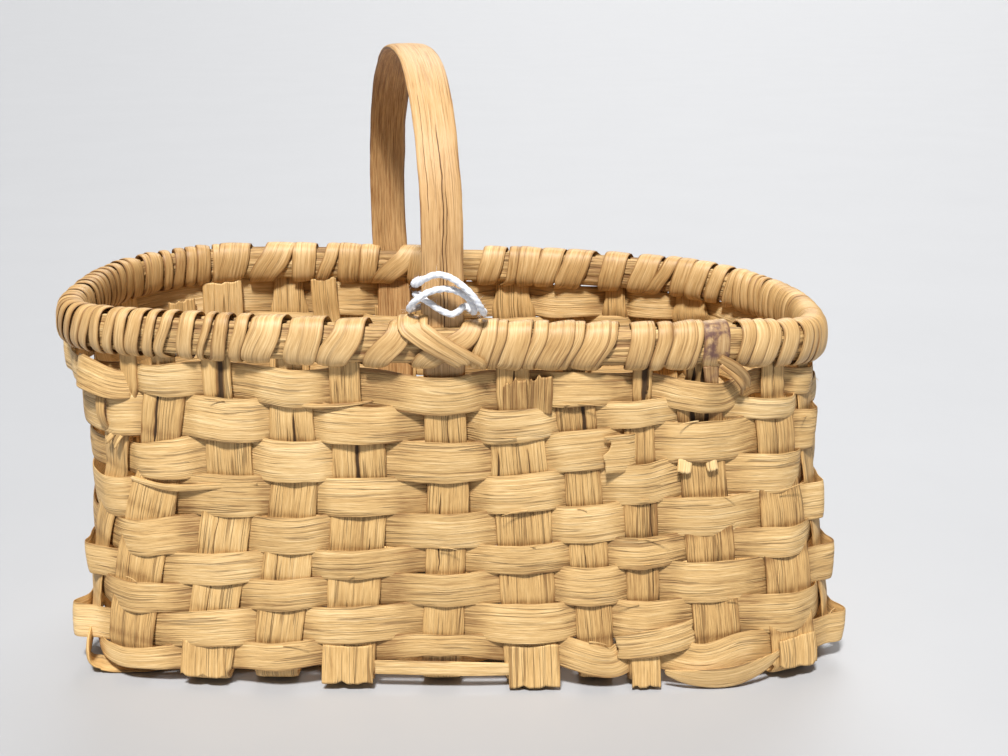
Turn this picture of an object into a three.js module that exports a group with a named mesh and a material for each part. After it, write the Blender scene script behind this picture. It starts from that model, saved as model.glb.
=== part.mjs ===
// A hand-made splint basket with a fixed handle over its short way.
// Millimetres, +Z up, the front toward -Y, the floor at z = 0.
import * as THREE from 'three';

const { lerp, clamp, smoothstep } = THREE.MathUtils;

// How finely outlines are drawn, kept by height and searched, and how finely gaps are measured
const OUTLINE_STEPS = 720;
const LEVELS_PER_MM = 4;
const SEARCH_STEPS = 40;
const GAP_SAMPLES = 4;

// Clearances: air where two splints press on each other, past the edges of a crossed stake,
// between rows, between turns of lashing, and between the lashing and the rim strips
const FIT = 0.35;
const EDGE = 0.4;
const ROW_GAP = 0.6;
const TURN_GAP = 0.7;
const LASH_FIT = 0.45;

// Wall: its length and width at the base, what the outline loses at the waist and at the rim, and
// how square its corners are in front, at the left of the back and at the right of the back
const WALL_LENGTH = 247;
const WALL_WIDTH = 123;
const BASE = { shorter: 0, narrower: 0, front: 5, backLeft: 4.5, backRight: 4.5, shift: 4.6 };
const WAIST = { shorter: 11, narrower: 5, front: 3.6, backLeft: 3.5, backRight: 3, shift: 2.2 };
const RIM = { shorter: 6.4, narrower: 4, front: 3.2, backLeft: 3.4, backRight: 2.2, shift: -1.1 };
const WAIST_SHARE = 0.7;

// Ends: from where on the rows and the rim sink towards them, over what reach, and by what share
const SINK_START = 75;
const SINK_REACH = 45;
const SINK_SHARE = { left: 0.024, right: 0.058 };

// Cross stakes: where each stands at the base and at the front and back rim, as shares of the
// half length, how far it bows from that line, and how wide it is
const STAKE_THICKNESS = 1.2;
const CROSS_STAKES = [
  { base: -0.86, front: -0.69, back: -0.709, bow: -0.03, width: 13 },
  { base: -0.655, front: -0.534, back: -0.501, bow: 0, width: 13.8 },
  { base: -0.477, front: -0.368, back: -0.342, bow: 0, width: 13.2 },
  { base: -0.287, front: -0.206, back: -0.176, bow: 0, width: 15.4 },
  { base: -0.048, front: 0.015, back: 0.006, bow: 0, width: 12.6 },
  { base: 0.187, front: 0.185, back: 0.191, bow: 0, width: 16 },
  { base: 0.357, front: 0.339, back: 0.363, bow: 0, width: 10.8 },
  { base: 0.475, front: 0.501, back: 0.505, bow: 0, width: 9.5 },
  { base: 0.673, front: 0.655, back: 0.62, bow: 0, width: 13.8 },
  { base: 0.865, front: 0.852, back: 0.73, bow: 0.012, width: 14.5 },
];

// Long stakes, front to back: where each stands at the base and at the left and right rim, as
// shares of the half width, and how wide it is
const LONG_STAKES = [
  { base: -0.6, left: -0.8, right: -0.56, width: 10 },
  { base: -0.2, left: -0.19, right: -0.19, width: 14 },
  { base: 0.2, left: 0.19, right: 0.19, width: 14 },
  { base: 0.6, left: 0.56, right: 0.56, width: 14 },
];
const FOLD_RADIUS = 4;
const TRIMMED_SHARE = 0.62;
const STAKE_RISE = 3;

// Weaver rows from the top down: how wide each is at the left, in the middle and at the right
const WEAVER_THICKNESS = 0.9;
const ROWS = [
  { left: 10, middle: 11.5, right: 7.5 },
  { left: 13, middle: 10.5, right: 6.5 },
  { left: 12.5, middle: 12, right: 12.5 },
  { left: 12.5, middle: 11, right: 12 },
  { left: 12, middle: 10.5, right: 12 },
  { left: 9.5, middle: 8.5, right: 9 },
  { left: 9.5, middle: 10, right: 12.5 },
  { left: 11, middle: 11.5, right: 12.5 },
  { left: 8.5, middle: 8.5, right: 10.5 },
];
const LAST_ROW_LIFT = { left: 0.2, middle: 2.9, right: 0.4 };
const STATION_SHARE = 0.7;

// Handle: its legs are skived thin below the rim and end behind a weaver row
const HANDLE_WIDTH = 12.6;
const HANDLE_THICKNESS = 2;
const LEG_THICKNESS = 1.2;
const LEG_END_ROW = 5;
const LEG_STEPS = 4;
const FRONT_LEG_INDEX = 4;
const BACK_LEG_INDEX = 3;
const ARCH_STRAIGHT = 30;
const ARCH_RISE = 53;
const ARCH_STEPS = 18;

// Rim strips
const RIM_STRIP_HEIGHT = 11.5;
const RIM_STRIP_THICKNESS = 1.8;
const RIM_STRIP_ROUND = 1.2;
const RIM_LIFT = 1.4;
const RIM_STEPS = 88;

// Lashing: turns in each gap between stakes, from the front's left round by the right end
const LASH_THICKNESS = 0.8;
const LASH_WIDTH = 7.5;
const LASH_FOLDED_WIDTH = 3.2;
const TURNS = [3, 3, 2, 2, 2, 3, 2, 2, 3, 3, 3, 3, 3, 3, 1, 2, 1, 2, 1, 2, 2, 1, 2, 5, 3, 3, 3, 5];
const LASHING_COUNT = 4;
const EVENING_PASSES = 4;

// Lean of a turn: how far it has gone up the front, as shares of its way from the wall to the
// top, and down the back, as shares of its way from the top to the next turn
const FRONT_LEAN = [0.3, 0.5, 0.85];
const BACK_LEAN = [0.25, 0.8];

// Second arm of the X over the front leg: how wide, and how far past the leg its low end is
const CROSS_WRAP_WIDTH = 7;
const CROSS_WRAP_REACH = 4.5;

// Tag string: loose turns round the front leg, from the right, as distances along the rim from the
// leg's middle, out from it and up from the top of the rim; and how finely the string is drawn, and
// how far apart along it two places are before the gap between them is measured
const STRING_DIAMETER = 2.2;
const STRING_ROUTE = [
  [6.6, 2.9, 4.6], [4.9, 3.4, 2.8], [2.6, 3.6, 1.7], [-0.6, 3.5, 2.9], [-4, 3.4, 5.2], [-6.7, 2.8, 6.6],
  [-8, 0.5, 6.9], [-7.4, -2.2, 6.3], [-4, -3.4, 5.3], [0, -3.5, 4.2], [4, -3.4, 3.1], [7.2, -2.4, 2.2],
  [8.6, 0, 1.8], [9.2, 2.6, 2.2], [9.1, 4.9, 4.1], [7.3, 6, 7.3], [4, 6.2, 9.3], [0.3, 6.3, 9.9],
  [-4, 6.3, 8.8], [-7.4, 6, 6.6], [-9.4, 3.7, 4], [-9.8, 0.4, 2.4], [-8.6, -3, 2], [-5, -5.8, 2.2],
  [0, -6.5, 2.2], [5, -6.4, 2.2], [9.6, -4.6, 1.8], [11.8, -1, 1.7], [12.1, 2.8, 1.9], [11.7, 5.9, 3.3],
  [10.6, 7.9, 5.8], [8.6, 8.7, 8.8], [6, 8.6, 11.3], [2.4, 8, 13.6], [-1.2, 7.2, 14.3], [-4.7, 6, 12.9],
  [-7.2, 4, 10.9], [-8.4, 1, 10.3], [-7.4, -2.7, 10.6], [-3.6, -3.6, 11.2],
];
const STRING_STEPS = 72;
const STRING_SIDES = 8;
const STRING_APART = 20;

// Colours of the pieces
const STAKE_COLOUR = 0xc79a5b;
const WEAVER_COLOUR = 0xd2a968;
const RIM_COLOUR = 0xcda468;
const LASHING_COLOUR = 0xd6ad72;
const HANDLE_COLOUR = 0xc08a4e;
const STRING_COLOUR = 0xf1f2f4;

// Heights that follow from the sizes
const FLOOR_LEVEL = STAKE_THICKNESS * 1.5 + FIT;
const FOLD_TOP = FLOOR_LEVEL + FOLD_RADIUS;
const RIM_HALF = RIM_STRIP_HEIGHT / 2;
const RIM_CLEAR = RIM_LIFT + FIT + LASH_THICKNESS + LASH_FIT;
const WAIST_HALF = (WALL_LENGTH - WAIST.shorter) / 2;

/** A size that is given at the left, in the middle and at the right, at the place x. */
function along(sizes, x) {
  const share = clamp(x / (STATION_SHARE * WAIST_HALF), -1, 1);
  const blend = smoothstep(Math.abs(share), 0, 1);
  return lerp(sizes.middle, share < 0 ? sizes.left : sizes.right, blend);
}

/** Share of their height that the rows have lost at the place x, where they sink at the ends. */
function sunk(x) {
  const part = Math.max(Math.abs(x) - SINK_START, 0) / SINK_REACH;
  return (x < 0 ? SINK_SHARE.left : SINK_SHARE.right) * part ** 2;
}

/** Height of the line under a row at the place x; line 0 is the top of the first row. */
function rowLine(row, x) {
  const below = ROWS.slice(row).reduce((sum, size) => sum + along(size, x), 0);
  return FOLD_TOP + along(LAST_ROW_LIFT, x) + below * (1 - sunk(x));
}

/** Height of the middle of the rim strips at the place x. */
function rimLevel(x) {
  return rowLine(0, x) + RIM_CLEAR + RIM_HALF;
}

/** Height of the underside of the lashing, where it passes through the wall. */
function lashingFoot(x) {
  return rimLevel(x) - RIM_HALF - LASH_FIT - LASH_THICKNESS;
}

// The wall is full height, and stands straight above, where the first row is lowest
const WALL_HEIGHT = Math.min(...[-1, 0, 1].map((end) => rowLine(0, end * WAIST_HALF)));
const RIM_HEIGHT = rimLevel(0);

/** The wall's outline at one height, walked by the share of its length from the left end. */
class Outline {
  constructor(z) {
    const share = z / WALL_HEIGHT;
    const [low, high] = share < WAIST_SHARE ? [BASE, WAIST] : [WAIST, RIM];
    const part = share < WAIST_SHARE ? share / WAIST_SHARE : (share - WAIST_SHARE) / (1 - WAIST_SHARE);
    const at = (key) => lerp(low[key], high[key], part);
    this.halfLength = (WALL_LENGTH - at('shorter')) / 2;
    this.halfWidth = (WALL_WIDTH - at('narrower')) / 2;
    this.powers = { front: at('front'), backLeft: at('backLeft'), backRight: at('backRight') };
    this.shift = at('shift');
    this.points = [];
    this.reach = [0];
    for (let i = 0; i <= OUTLINE_STEPS; i++) {
      const angle = Math.PI + i / OUTLINE_STEPS * 2 * Math.PI;
      const [c, s] = [Math.cos(angle), Math.sin(angle)];
      const power = this.power(c, s);
      const r = (Math.abs(c / this.halfLength) ** power
        + Math.abs(s / this.halfWidth) ** power) ** (-1 / power);
      this.points.push([r * c, r * s]);
      if (i > 0) {
        const [a, b] = [this.points[i - 1], this.points[i]];
        this.reach.push(this.reach[i - 1] + Math.hypot(b[0] - a[0], b[1] - a[1]));
      }
    }
    this.length = this.reach[OUTLINE_STEPS];
  }

  /** How square the outline is on the side where a place lies. */
  power(x, y) {
    if (y < 0) return this.powers.front;
    return x < 0 ? this.powers.backLeft : this.powers.backRight;
  }

  /** Place and outward direction at a share of the outline. */
  spot(share) {
    const wanted = (share - Math.floor(share)) * this.length;
    let [low, high] = [0, this.reach.length - 1];
    while (high - low > 1) {
      const middle = (low + high) >> 1;
      if (this.reach[middle] <= wanted) low = middle; else high = middle;
    }
    const part = (wanted - this.reach[low]) / (this.reach[high] - this.reach[low]);
    const x = lerp(this.points[low][0], this.points[high][0], part);
    const y = lerp(this.points[low][1], this.points[high][1], part);
    const power = this.power(x, y);
    const slope = (value, half) => Math.sign(value) * Math.abs(value / half) ** (power - 1) / half;
    const normal = new THREE.Vector2(slope(x, this.halfLength), slope(y, this.halfWidth)).normalize();
    return { x: x + this.shift, y, normal };
  }

  /** Share of the outline between two shares where a place's measure reaches a value. */
  find(from, to, measure, value) {
    let [low, high] = [from, to];
    for (let i = 0; i < SEARCH_STEPS; i++) {
      const middle = (low + high) / 2;
      if ((measure(this.spot(middle)) < value) === (measure(this.spot(from)) < value)) low = middle;
      else high = middle;
    }
    return (low + high) / 2;
  }
}

const outlines = new Map();

/** The outline at a height, kept for heights that come back. */
function outlineAt(z) {
  const key = Math.round(clamp(z, 0, WALL_HEIGHT) * LEVELS_PER_MM);
  if (!outlines.has(key)) outlines.set(key, new Outline(clamp(key / LEVELS_PER_MM, 0, WALL_HEIGHT)));
  return outlines.get(key);
}

/** A point at a share of the wall, a height and a distance outside the wall's middle. */
function wallPoint(share, z, out) {
  const { x, y, normal } = outlineAt(z).spot(share);
  return new THREE.Vector3(x + normal.x * out, y + normal.y * out, z);
}

/** One end of a splint that stands in the wall. */
class Stake {
  constructor(side, index, { width, base, top, bow = 0, leg = false }) {
    Object.assign(this, { side, index, width, base, top, bow, leg });
  }

  /** Share of the outline where the stake's middle stands at a height. */
  share(z) {
    const outline = outlineAt(z);
    const part = clamp(z / WALL_HEIGHT, 0, 1);
    const place = lerp(this.base, this.top, part) + this.bow * 4 * part * (1 - part);
    const x = outline.shift + place * outline.halfLength;
    const y = place * outline.halfWidth;
    if (this.side === 'front') return outline.find(0, 0.5, (spot) => spot.x, x);
    if (this.side === 'back') return outline.find(0.5, 1, (spot) => spot.x, x);
    if (this.side === 'right') return outline.find(0.25, 0.75, (spot) => spot.y, y);
    return 1 + outline.find(-0.25, 0.25, (spot) => spot.y, y);
  }

  /** Place along the basket of the stake's middle. */
  x(z) {
    return outlineAt(z).spot(this.share(z)).x;
  }

  /** Width at a height: the top is trimmed narrower, to make room for the lashing. */
  widthAt(z) {
    const x = this.x(z);
    return this.width * lerp(1, TRIMMED_SHARE, smoothstep(z, rowLine(1, x), lashingFoot(x)));
  }

  /** Share of the outline at the stake's edge, with some more room beside it. */
  edge(side, z, room = 0, width = this.widthAt(z)) {
    return this.share(z) + side * (width / 2 + room) / outlineAt(z).length;
  }

  /** A point at a height, a distance along the wall from the stake's middle and one out of it. */
  point(z, across, out) {
    const x = this.x(z);
    const flat = this.leg || z <= rowLine(0, x) ? this.width : this.widthAt(z);
    const [from, to] = [-1, 1].map((side) => wallPoint(this.edge(side, z, 0, flat), z, 0));
    const way = to.clone().sub(from).normalize();
    const outward = new THREE.Vector3(way.y, -way.x, 0);
    return from.lerp(to, 0.5).addScaledVector(way, across).addScaledVector(outward, out);
  }

  /** Height where the stake ends: between the rim strips, or behind the first row under a leg. */
  get upperEnd() {
    const x = this.x(RIM_HEIGHT);
    return this.leg ? (rowLine(0, x) + rowLine(1, x)) / 2 : rimLevel(x) + STAKE_RISE;
  }
}

const crossStakes = (side, leg) => CROSS_STAKES.map(
  (size, i) => new Stake(side, i, { ...size, top: size[side], leg: i === leg }));
const longStakes = (side) => LONG_STAKES.map(
  (size, i) => new Stake(side, i, { ...size, top: size[side] }));

// All standing ends, from the front's left round by the right end
const round = [
  ...crossStakes('front', FRONT_LEG_INDEX),
  ...longStakes('right'),
  ...crossStakes('back', BACK_LEG_INDEX).reverse(),
  ...longStakes('left').reverse(),
];
const standing = (side, index) => round.find((stake) => stake.side === side && stake.index === index);

/** A closed solid through rings of points, open ended or joined end to end. */
function skin(rings, joined) {
  const sides = rings[0].length;
  const count = rings.length;
  const places = rings.flat().flatMap((point) => point.toArray());
  const faces = [];
  for (let i = 0; i < (joined ? count : count - 1); i++) {
    const [here, there] = [i * sides, ((i + 1) % count) * sides];
    for (let k = 0; k < sides; k++) {
      const next = (k + 1) % sides;
      faces.push([here + k, here + next, there + next], [here + k, there + next, there + k]);
    }
  }
  if (!joined) {
    const last = (count - 1) * sides;
    for (let k = 1; k < sides - 1; k++) faces.push([0, k + 1, k], [last, last + k, last + k + 1]);
  }
  const corner = (i) => new THREE.Vector3().fromArray(places, i * 3);
  const volume = faces.reduce((sum, [a, b, c]) => sum + corner(a).dot(corner(b).cross(corner(c))), 0);
  const geometry = new THREE.BufferGeometry();
  geometry.setAttribute('position', new THREE.Float32BufferAttribute(places, 3));
  geometry.setIndex(faces.flatMap(([a, b, c]) => (volume > 0 ? [a, b, c] : [a, c, b])));
  geometry.computeVertexNormals();
  return geometry;
}

/** Level section of a splint that stands at a stake's place; a mirrored one starts at its far edge. */
function standingSection(stake, mirror, z, width, out, thickness) {
  const [first, second] = [-mirror * width / 2, mirror * width / 2];
  const [inner, outer] = [out - thickness / 2, out + thickness / 2];
  return [[first, inner], [second, inner], [second, outer], [first, outer]].map(
    ([across, depth]) => stake.point(z, across, depth));
}

/** A point on the fold between wall and base, at an edge of a stake. */
function foldPoint(stake, side, angle, out) {
  const radius = FOLD_RADIUS + out;
  const point = stake.point(FOLD_TOP, side * stake.width / 2, radius * Math.cos(angle) - FOLD_RADIUS);
  return point.setZ(FOLD_TOP - radius * Math.sin(angle));
}

/** Sections of one standing end of a stake, from its top down to the end of the fold. */
function standingSections(stake, mirror) {
  const half = STAKE_THICKNESS / 2;
  const x = stake.x(RIM_HEIGHT);
  const tops = stake.leg ? [stake.upperEnd] : [stake.upperEnd, lashingFoot(x), rowLine(0, x)];
  const lines = ROWS.map((_, i) => rowLine(i + 1, x));
  const sections = [...tops, ...lines, FOLD_TOP].map((z) => (
    standingSection(stake, mirror, z, stake.widthAt(z), 0, STAKE_THICKNESS)));
  for (const angle of [Math.PI / 6, Math.PI / 3, Math.PI / 2]) {
    sections.push([
      foldPoint(stake, -mirror, angle, -half),
      foldPoint(stake, mirror, angle, -half),
      foldPoint(stake, mirror, angle, half),
      foldPoint(stake, -mirror, angle, half),
    ]);
  }
  return sections;
}

/** A cross stake: down the front wall, straight under the base and up the back wall. */
function crossStake(index) {
  const front = standingSections(standing('front', index), 1);
  const back = standingSections(standing('back', index), -1);
  return skin([...front, ...back.reverse()], false);
}

/** Place along the basket of a cross stake's edge in the base, at a distance from the front. */
function baseEdge(index, side, y) {
  const front = foldPoint(standing('front', index), side, Math.PI / 2, 0);
  const back = foldPoint(standing('back', index), -side, Math.PI / 2, 0);
  return lerp(front.x, back.x, (y - front.y) / (back.y - front.y));
}

/** A long stake: down the left end, under and over the cross stakes, and up the right end. */
function longStake(index) {
  const [half, step] = [STAKE_THICKNESS / 2, STAKE_THICKNESS + FIT];
  const { base, width } = LONG_STAKES[index];
  const y = base * (WALL_WIDTH - BASE.narrower) / 2;
  const [far, near] = [y + width / 2, y - width / 2];
  const floor = CROSS_STAKES.flatMap((_, i) => [-1, 1].map((side) => {
    const z = FLOOR_LEVEL + ((i + index) % 2 === 0 ? -step : step);
    const corner = (at, up) => new THREE.Vector3(baseEdge(i, side, at) + side * EDGE, at, z + up);
    return [corner(far, half), corner(near, half), corner(near, -half), corner(far, -half)];
  }));
  const left = standingSections(standing('left', index), 1);
  const right = standingSections(standing('right', index), -1);
  return skin([...left, ...floor, ...right.reverse()], false);
}

/** How far outside the wall's middle a row's splint lies where it crosses a stake. */
function crossingDepth(row, place, stake) {
  const depth = STAKE_THICKNESS / 2 + FIT + WEAVER_THICKNESS / 2;
  if ((row + place) % 2 === 1) return depth;
  return stake.leg && row <= LEG_END_ROW ? -depth - LEG_THICKNESS - FIT : -depth;
}

/** A weaver row: outside one stake and inside the next, all the way round. */
function weaverRow(row) {
  const sections = round.flatMap((stake, place) => [-1, 1].map((side) => {
    const depth = crossingDepth(row, place, stake);
    const width = stake.leg ? Math.max(stake.width, HANDLE_WIDTH) : stake.width;
    const middle = (rowLine(row - 1, stake.x(0)) + rowLine(row, stake.x(0))) / 2;
    const across = side * (width / 2 + EDGE);
    const { x } = stake.point(middle, across, 0);
    const [low, high] = [rowLine(row, x) + ROW_GAP / 2, rowLine(row - 1, x) - ROW_GAP / 2];
    const [inner, outer] = [depth - WEAVER_THICKNESS / 2, depth + WEAVER_THICKNESS / 2];
    return [[low, inner], [low, outer], [high, outer], [high, inner]].map(
      ([z, out]) => stake.point(z, across, out));
  }));
  return skin(sections, true);
}

/** A point at a share of the rim, a distance outside its middle and a height above it. */
function rimPoint(share, out, up) {
  const { x, y, normal } = outlineAt(RIM_HEIGHT).spot(share);
  return new THREE.Vector3(x + normal.x * out, y + normal.y * out, rimLevel(x) + up);
}

const RIM_GAP_HALF = HANDLE_THICKNESS / 2 + FIT;
const RIM_DEPTH_HALF = RIM_GAP_HALF + RIM_STRIP_THICKNESS;

/** A rim strip, flat against the stakes and rounded away from them; side 1 is the outer one. */
function rimStrip(side) {
  const [face, back] = [RIM_GAP_HALF, RIM_DEPTH_HALF];
  const [top, r] = [RIM_HALF, RIM_STRIP_ROUND];
  const outline = [
    [face, -top], [back - r, -top], [back, r - top], [back, top - r], [back - r, top], [face, top],
  ];
  const ring = (share) => outline.map(([out, up]) => rimPoint(share, side * out, up));
  return skin(Array.from({ length: RIM_STEPS }, (_, i) => ring(i / RIM_STEPS)), true);
}

/** Stations of one turn of lashing round the rim strips, as places across and up. */
function turnStations(grow) {
  const across = RIM_DEPTH_HALF + LASH_FIT + grow;
  const up = RIM_HALF + LASH_FIT + grow;
  const cut = RIM_STRIP_ROUND + (2 - Math.SQRT2) * (LASH_FIT + grow);
  return [
    [cut - across, -up], [across - cut, -up], [across, cut - up], [across, 0], [across, up - cut],
    [across - cut, up], [cut - across, up], [-across, up - cut], [-across, cut - up],
  ];
}
const stationIndex = { crossing: 0, outerLow: 2, topOuter: 5, innerLow: 8 };

/** A section of lashing at a station, its middle at a share of the rim. */
function lashSection(station, share, width, layer = 0) {
  const base = layer * (LASH_THICKNESS + FIT);
  const [inner, outer] = [station(base), station(base + LASH_THICKNESS)];
  const half = width / 2 / outlineAt(RIM_HEIGHT).length;
  return [
    rimPoint(share - half, ...inner), rimPoint(share + half, ...inner),
    rimPoint(share + half, ...outer), rimPoint(share - half, ...outer),
  ];
}

/** Shares of the rim that a handle's leg takes, with its clearance. */
function legSpan(leg) {
  const room = FIT + TURN_GAP / 2;
  return [-1, 1].map((side) => leg.edge(side, RIM_HEIGHT, room, HANDLE_WIDTH));
}

/** Averages each place with its neighbours, a few times, with the ends kept. */
function evened(places) {
  let out = [...places];
  for (let n = 0; n < EVENING_PASSES; n++) {
    out = out.map((p, i) => (i === 0 || i === out.length - 1 ? p : (out[i - 1] + 2 * p + out[i + 1]) / 4));
  }
  return out;
}

/** Where each turn passes through the wall, as shares of the rim. */
function lashingCrossings() {
  return TURNS.flatMap((turns, gap) => {
    const [before, after] = [round[gap], round[(gap + 1) % round.length]];
    const wide = (stake) => (stake.leg ? HANDLE_WIDTH : stake.widthAt(RIM_HEIGHT));
    const from = before.edge(1, RIM_HEIGHT, FIT, wide(before));
    const to = after.edge(-1, RIM_HEIGHT, FIT, wide(after)) + (gap === round.length - 1 ? 1 : 0);
    return Array.from({ length: turns }, (_, i) => lerp(from, to, (i + 0.5) / turns));
  });
}

/** Where each turn goes over the top of the rim: spread evenly from one leg to the other. */
function lashingTops(crossings, frontLeg, backLeg) {
  const count = crossings.length;
  const start = crossings.findIndex((share) => share > frontLeg[1]) - 1;
  const after = (i) => crossings[i % count] + Math.floor(i / count);
  const tops = new Array(count);
  const stretches = [[frontLeg[1], backLeg[0]], [backLeg[1], frontLeg[0] + 1]];
  let turn = start;
  for (const [from, to] of stretches) {
    const raw = [];
    while (after(turn + raw.length + 1) < to) {
      const i = turn + raw.length;
      raw.push(Math.max(from, (after(i) + after(i + 1)) / 2));
    }
    const even = evened(raw);
    const pad = (to - from) / raw.length / 2;
    const [first, last] = [even[0], even[even.length - 1]];
    even.forEach((place, k) => {
      const share = lerp(from + pad, to - pad, (place - first) / (last - first));
      tops[(turn + k) % count] = share - Math.floor((turn + k) / count);
    });
    turn += raw.length;
  }
  return tops;
}

/** Shares of the rim of every turn at every station. */
function lashingTurns() {
  const frontLeg = legSpan(standing('front', FRONT_LEG_INDEX));
  const backLeg = legSpan(standing('back', BACK_LEG_INDEX));
  const crossings = lashingCrossings();
  const tops = lashingTops(crossings, frontLeg, backLeg);
  const count = crossings.length;
  return crossings.map((from, i) => {
    const to = crossings[(i + 1) % count] + (i === count - 1 ? 1 : 0);
    const top = tops[i];
    const up = FRONT_LEAN.map((part) => lerp(from, top, part));
    const down = BACK_LEAN.map((part) => lerp(top, to, part));
    return [from, from, ...up, top, top, ...down];
  });
}

/** Width of a turn at a station: what its neighbours leave, up to the splint's own width. */
function turnWidth(turns, i, station) {
  const count = turns.length;
  const place = (k) => turns[(k + count) % count][station] + Math.floor(k / count);
  const room = Math.min(place(i + 1) - place(i), place(i) - place(i - 1)) * outlineAt(RIM_HEIGHT).length;
  const widest = station < stationIndex.outerLow ? LASH_FOLDED_WIDTH : LASH_WIDTH;
  return Math.min(widest, room - TURN_GAP);
}

/** A length of lashing, from one turn up to another, its ends tucked under the rim. */
function lashingLength(turns, from, to) {
  const sections = [];
  for (let i = from; i < to; i++) {
    turns[i].forEach((share, station) => {
      const tucked = i === from && station === stationIndex.crossing;
      const stationAt = (grow) => {
        const [out, up] = turnStations(grow)[station];
        return [tucked ? 0 : out, up];
      };
      sections.push(lashSection(stationAt, share, turnWidth(turns, i, station)));
    });
  }
  return sections;
}

/** Least gap of a length of lashing to itself, between the edges of its turns. */
function leastTurnGap(sections) {
  const stations = turnStations(0).length;
  let least = Infinity;
  for (let i = 0; i < sections.length; i++) {
    for (let j = i + stations - 2; j < Math.min(sections.length, i + 2 * stations); j++) {
      for (const a of sections[i]) {
        for (const b of sections[j]) least = Math.min(least, a.distanceTo(b));
      }
    }
  }
  return least;
}

/** The second arm of the X over the front leg, in a layer of its own over the lashing. */
function handleCrossWrap() {
  const leg = standing('front', FRONT_LEG_INDEX);
  const middle = leg.share(RIM_HEIGHT);
  const length = outlineAt(RIM_HEIGHT).length;
  const low = middle + (HANDLE_WIDTH / 2 + CROSS_WRAP_REACH) / length;
  const top = legSpan(leg)[0] - CROSS_WRAP_WIDTH / 2 / length;
  const { outerLow, topOuter, innerLow } = stationIndex;
  const sections = [];
  for (let station = outerLow; station <= innerLow; station++) {
    const share = lerp(low, top, Math.min((station - outerLow) / (topOuter - outerLow), 1));
    sections.push(lashSection((grow) => turnStations(grow)[station], share, CROSS_WRAP_WIDTH, 1));
  }
  return skin(sections, false);
}

/** Sections of one leg of the handle, from its hidden end up to the start of the arch. */
function legSections(leg, mirror) {
  const x = leg.x(RIM_HEIGHT);
  const inside = -(STAKE_THICKNESS + LEG_THICKNESS) / 2 - FIT;
  const end = (rowLine(LEG_END_ROW - 1, x) + rowLine(LEG_END_ROW, x)) / 2;
  const section = (z, out, thickness) => (
    standingSection(leg, mirror, z, HANDLE_WIDTH, out, thickness));
  const bend = leg.upperEnd + FIT;
  const hidden = Array.from({ length: LEG_STEPS + 1 }, (_, i) => (
    section(lerp(end, bend, i / LEG_STEPS), inside, LEG_THICKNESS)));
  const held = [lashingFoot(x), rimLevel(x) + RIM_HALF].map((z) => section(z, 0, HANDLE_THICKNESS));
  return [...hidden, ...held];
}

/** The handle: one splint up from the front wall, over in an arch and down to the back wall. */
function handle() {
  const [front, back] = [standing('front', FRONT_LEG_INDEX), standing('back', BACK_LEG_INDEX)];
  const [from, to] = [front, back].map((leg) => rimPoint(leg.share(RIM_HEIGHT), 0, 0));
  const springLine = RIM_HEIGHT + ARCH_STRAIGHT;
  const centre = from.clone().lerp(to, 0.5).setZ(springLine);
  const over = to.clone().sub(from).setZ(0);
  const radius = over.length() / 2;
  over.normalize();
  const across = new THREE.Vector3(over.y, -over.x, 0).multiplyScalar(HANDLE_WIDTH / 2);
  const arch = Array.from({ length: ARCH_STEPS + 1 }, (_, i) => {
    const angle = Math.PI * i / ARCH_STEPS;
    const [c, s] = [Math.cos(angle), Math.sin(angle)];
    const middle = centre.clone().addScaledVector(over, -radius * c);
    middle.z += ARCH_RISE * s;
    const up = new THREE.Vector3(0, 0, s / ARCH_RISE).addScaledVector(over, -c / radius).normalize();
    const corner = (side, out) => middle.clone().addScaledVector(across, side)
      .addScaledVector(up, out * HANDLE_THICKNESS / 2);
    return [corner(-1, -1), corner(1, -1), corner(1, 1), corner(-1, 1)];
  });
  return skin([...legSections(front, 1), ...arch, ...legSections(back, -1).reverse()], false);
}

/** Points of the tag string's route round the front leg. */
function stringPoints() {
  const { x, y, normal } = outlineAt(RIM_HEIGHT).spot(standing('front', FRONT_LEG_INDEX).share(RIM_HEIGHT));
  const rimTop = rimLevel(x) + RIM_HALF + LASH_FIT + 2 * LASH_THICKNESS + FIT;
  return STRING_ROUTE.map(([across, out, up]) => new THREE.Vector3(
    x - normal.y * across + normal.x * out, y + normal.x * across + normal.y * out, rimTop + up));
}

/** A round cord through points. */
function cord(points, diameter, sides, steps) {
  const curve = new THREE.CatmullRomCurve3(points);
  const frames = curve.computeFrenetFrames(steps, false);
  const rings = [];
  for (let i = 0; i <= steps; i++) {
    const middle = curve.getPointAt(i / steps);
    rings.push(Array.from({ length: sides }, (_, k) => {
      const angle = 2 * Math.PI * k / sides;
      return middle.clone()
        .addScaledVector(frames.normals[i], Math.cos(angle) * diameter / 2)
        .addScaledVector(frames.binormals[i], Math.sin(angle) * diameter / 2);
    }));
  }
  return skin(rings, false);
}

/** Least gap of a cord to itself, between points that are at least some way apart along it. */
function leastCordGap(points, diameter, apart) {
  const curve = new THREE.CatmullRomCurve3(points);
  const fine = curve.getSpacedPoints(Math.round(curve.getLength() * GAP_SAMPLES));
  let least = Infinity;
  for (let i = 0; i < fine.length; i++) {
    for (let j = i + apart * GAP_SAMPLES; j < fine.length; j++) {
      least = Math.min(least, fine[i].distanceTo(fine[j]));
    }
  }
  return least - diameter;
}

const basket = new THREE.Group();
basket.name = 'splint_basket';

/** Adds a named piece to the basket. */
function add(name, geometry, colour, roughness = 0.75) {
  const material = new THREE.MeshStandardMaterial({ color: colour, roughness, metalness: 0 });
  const mesh = new THREE.Mesh(geometry, material);
  mesh.name = name;
  basket.add(mesh);
}

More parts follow.
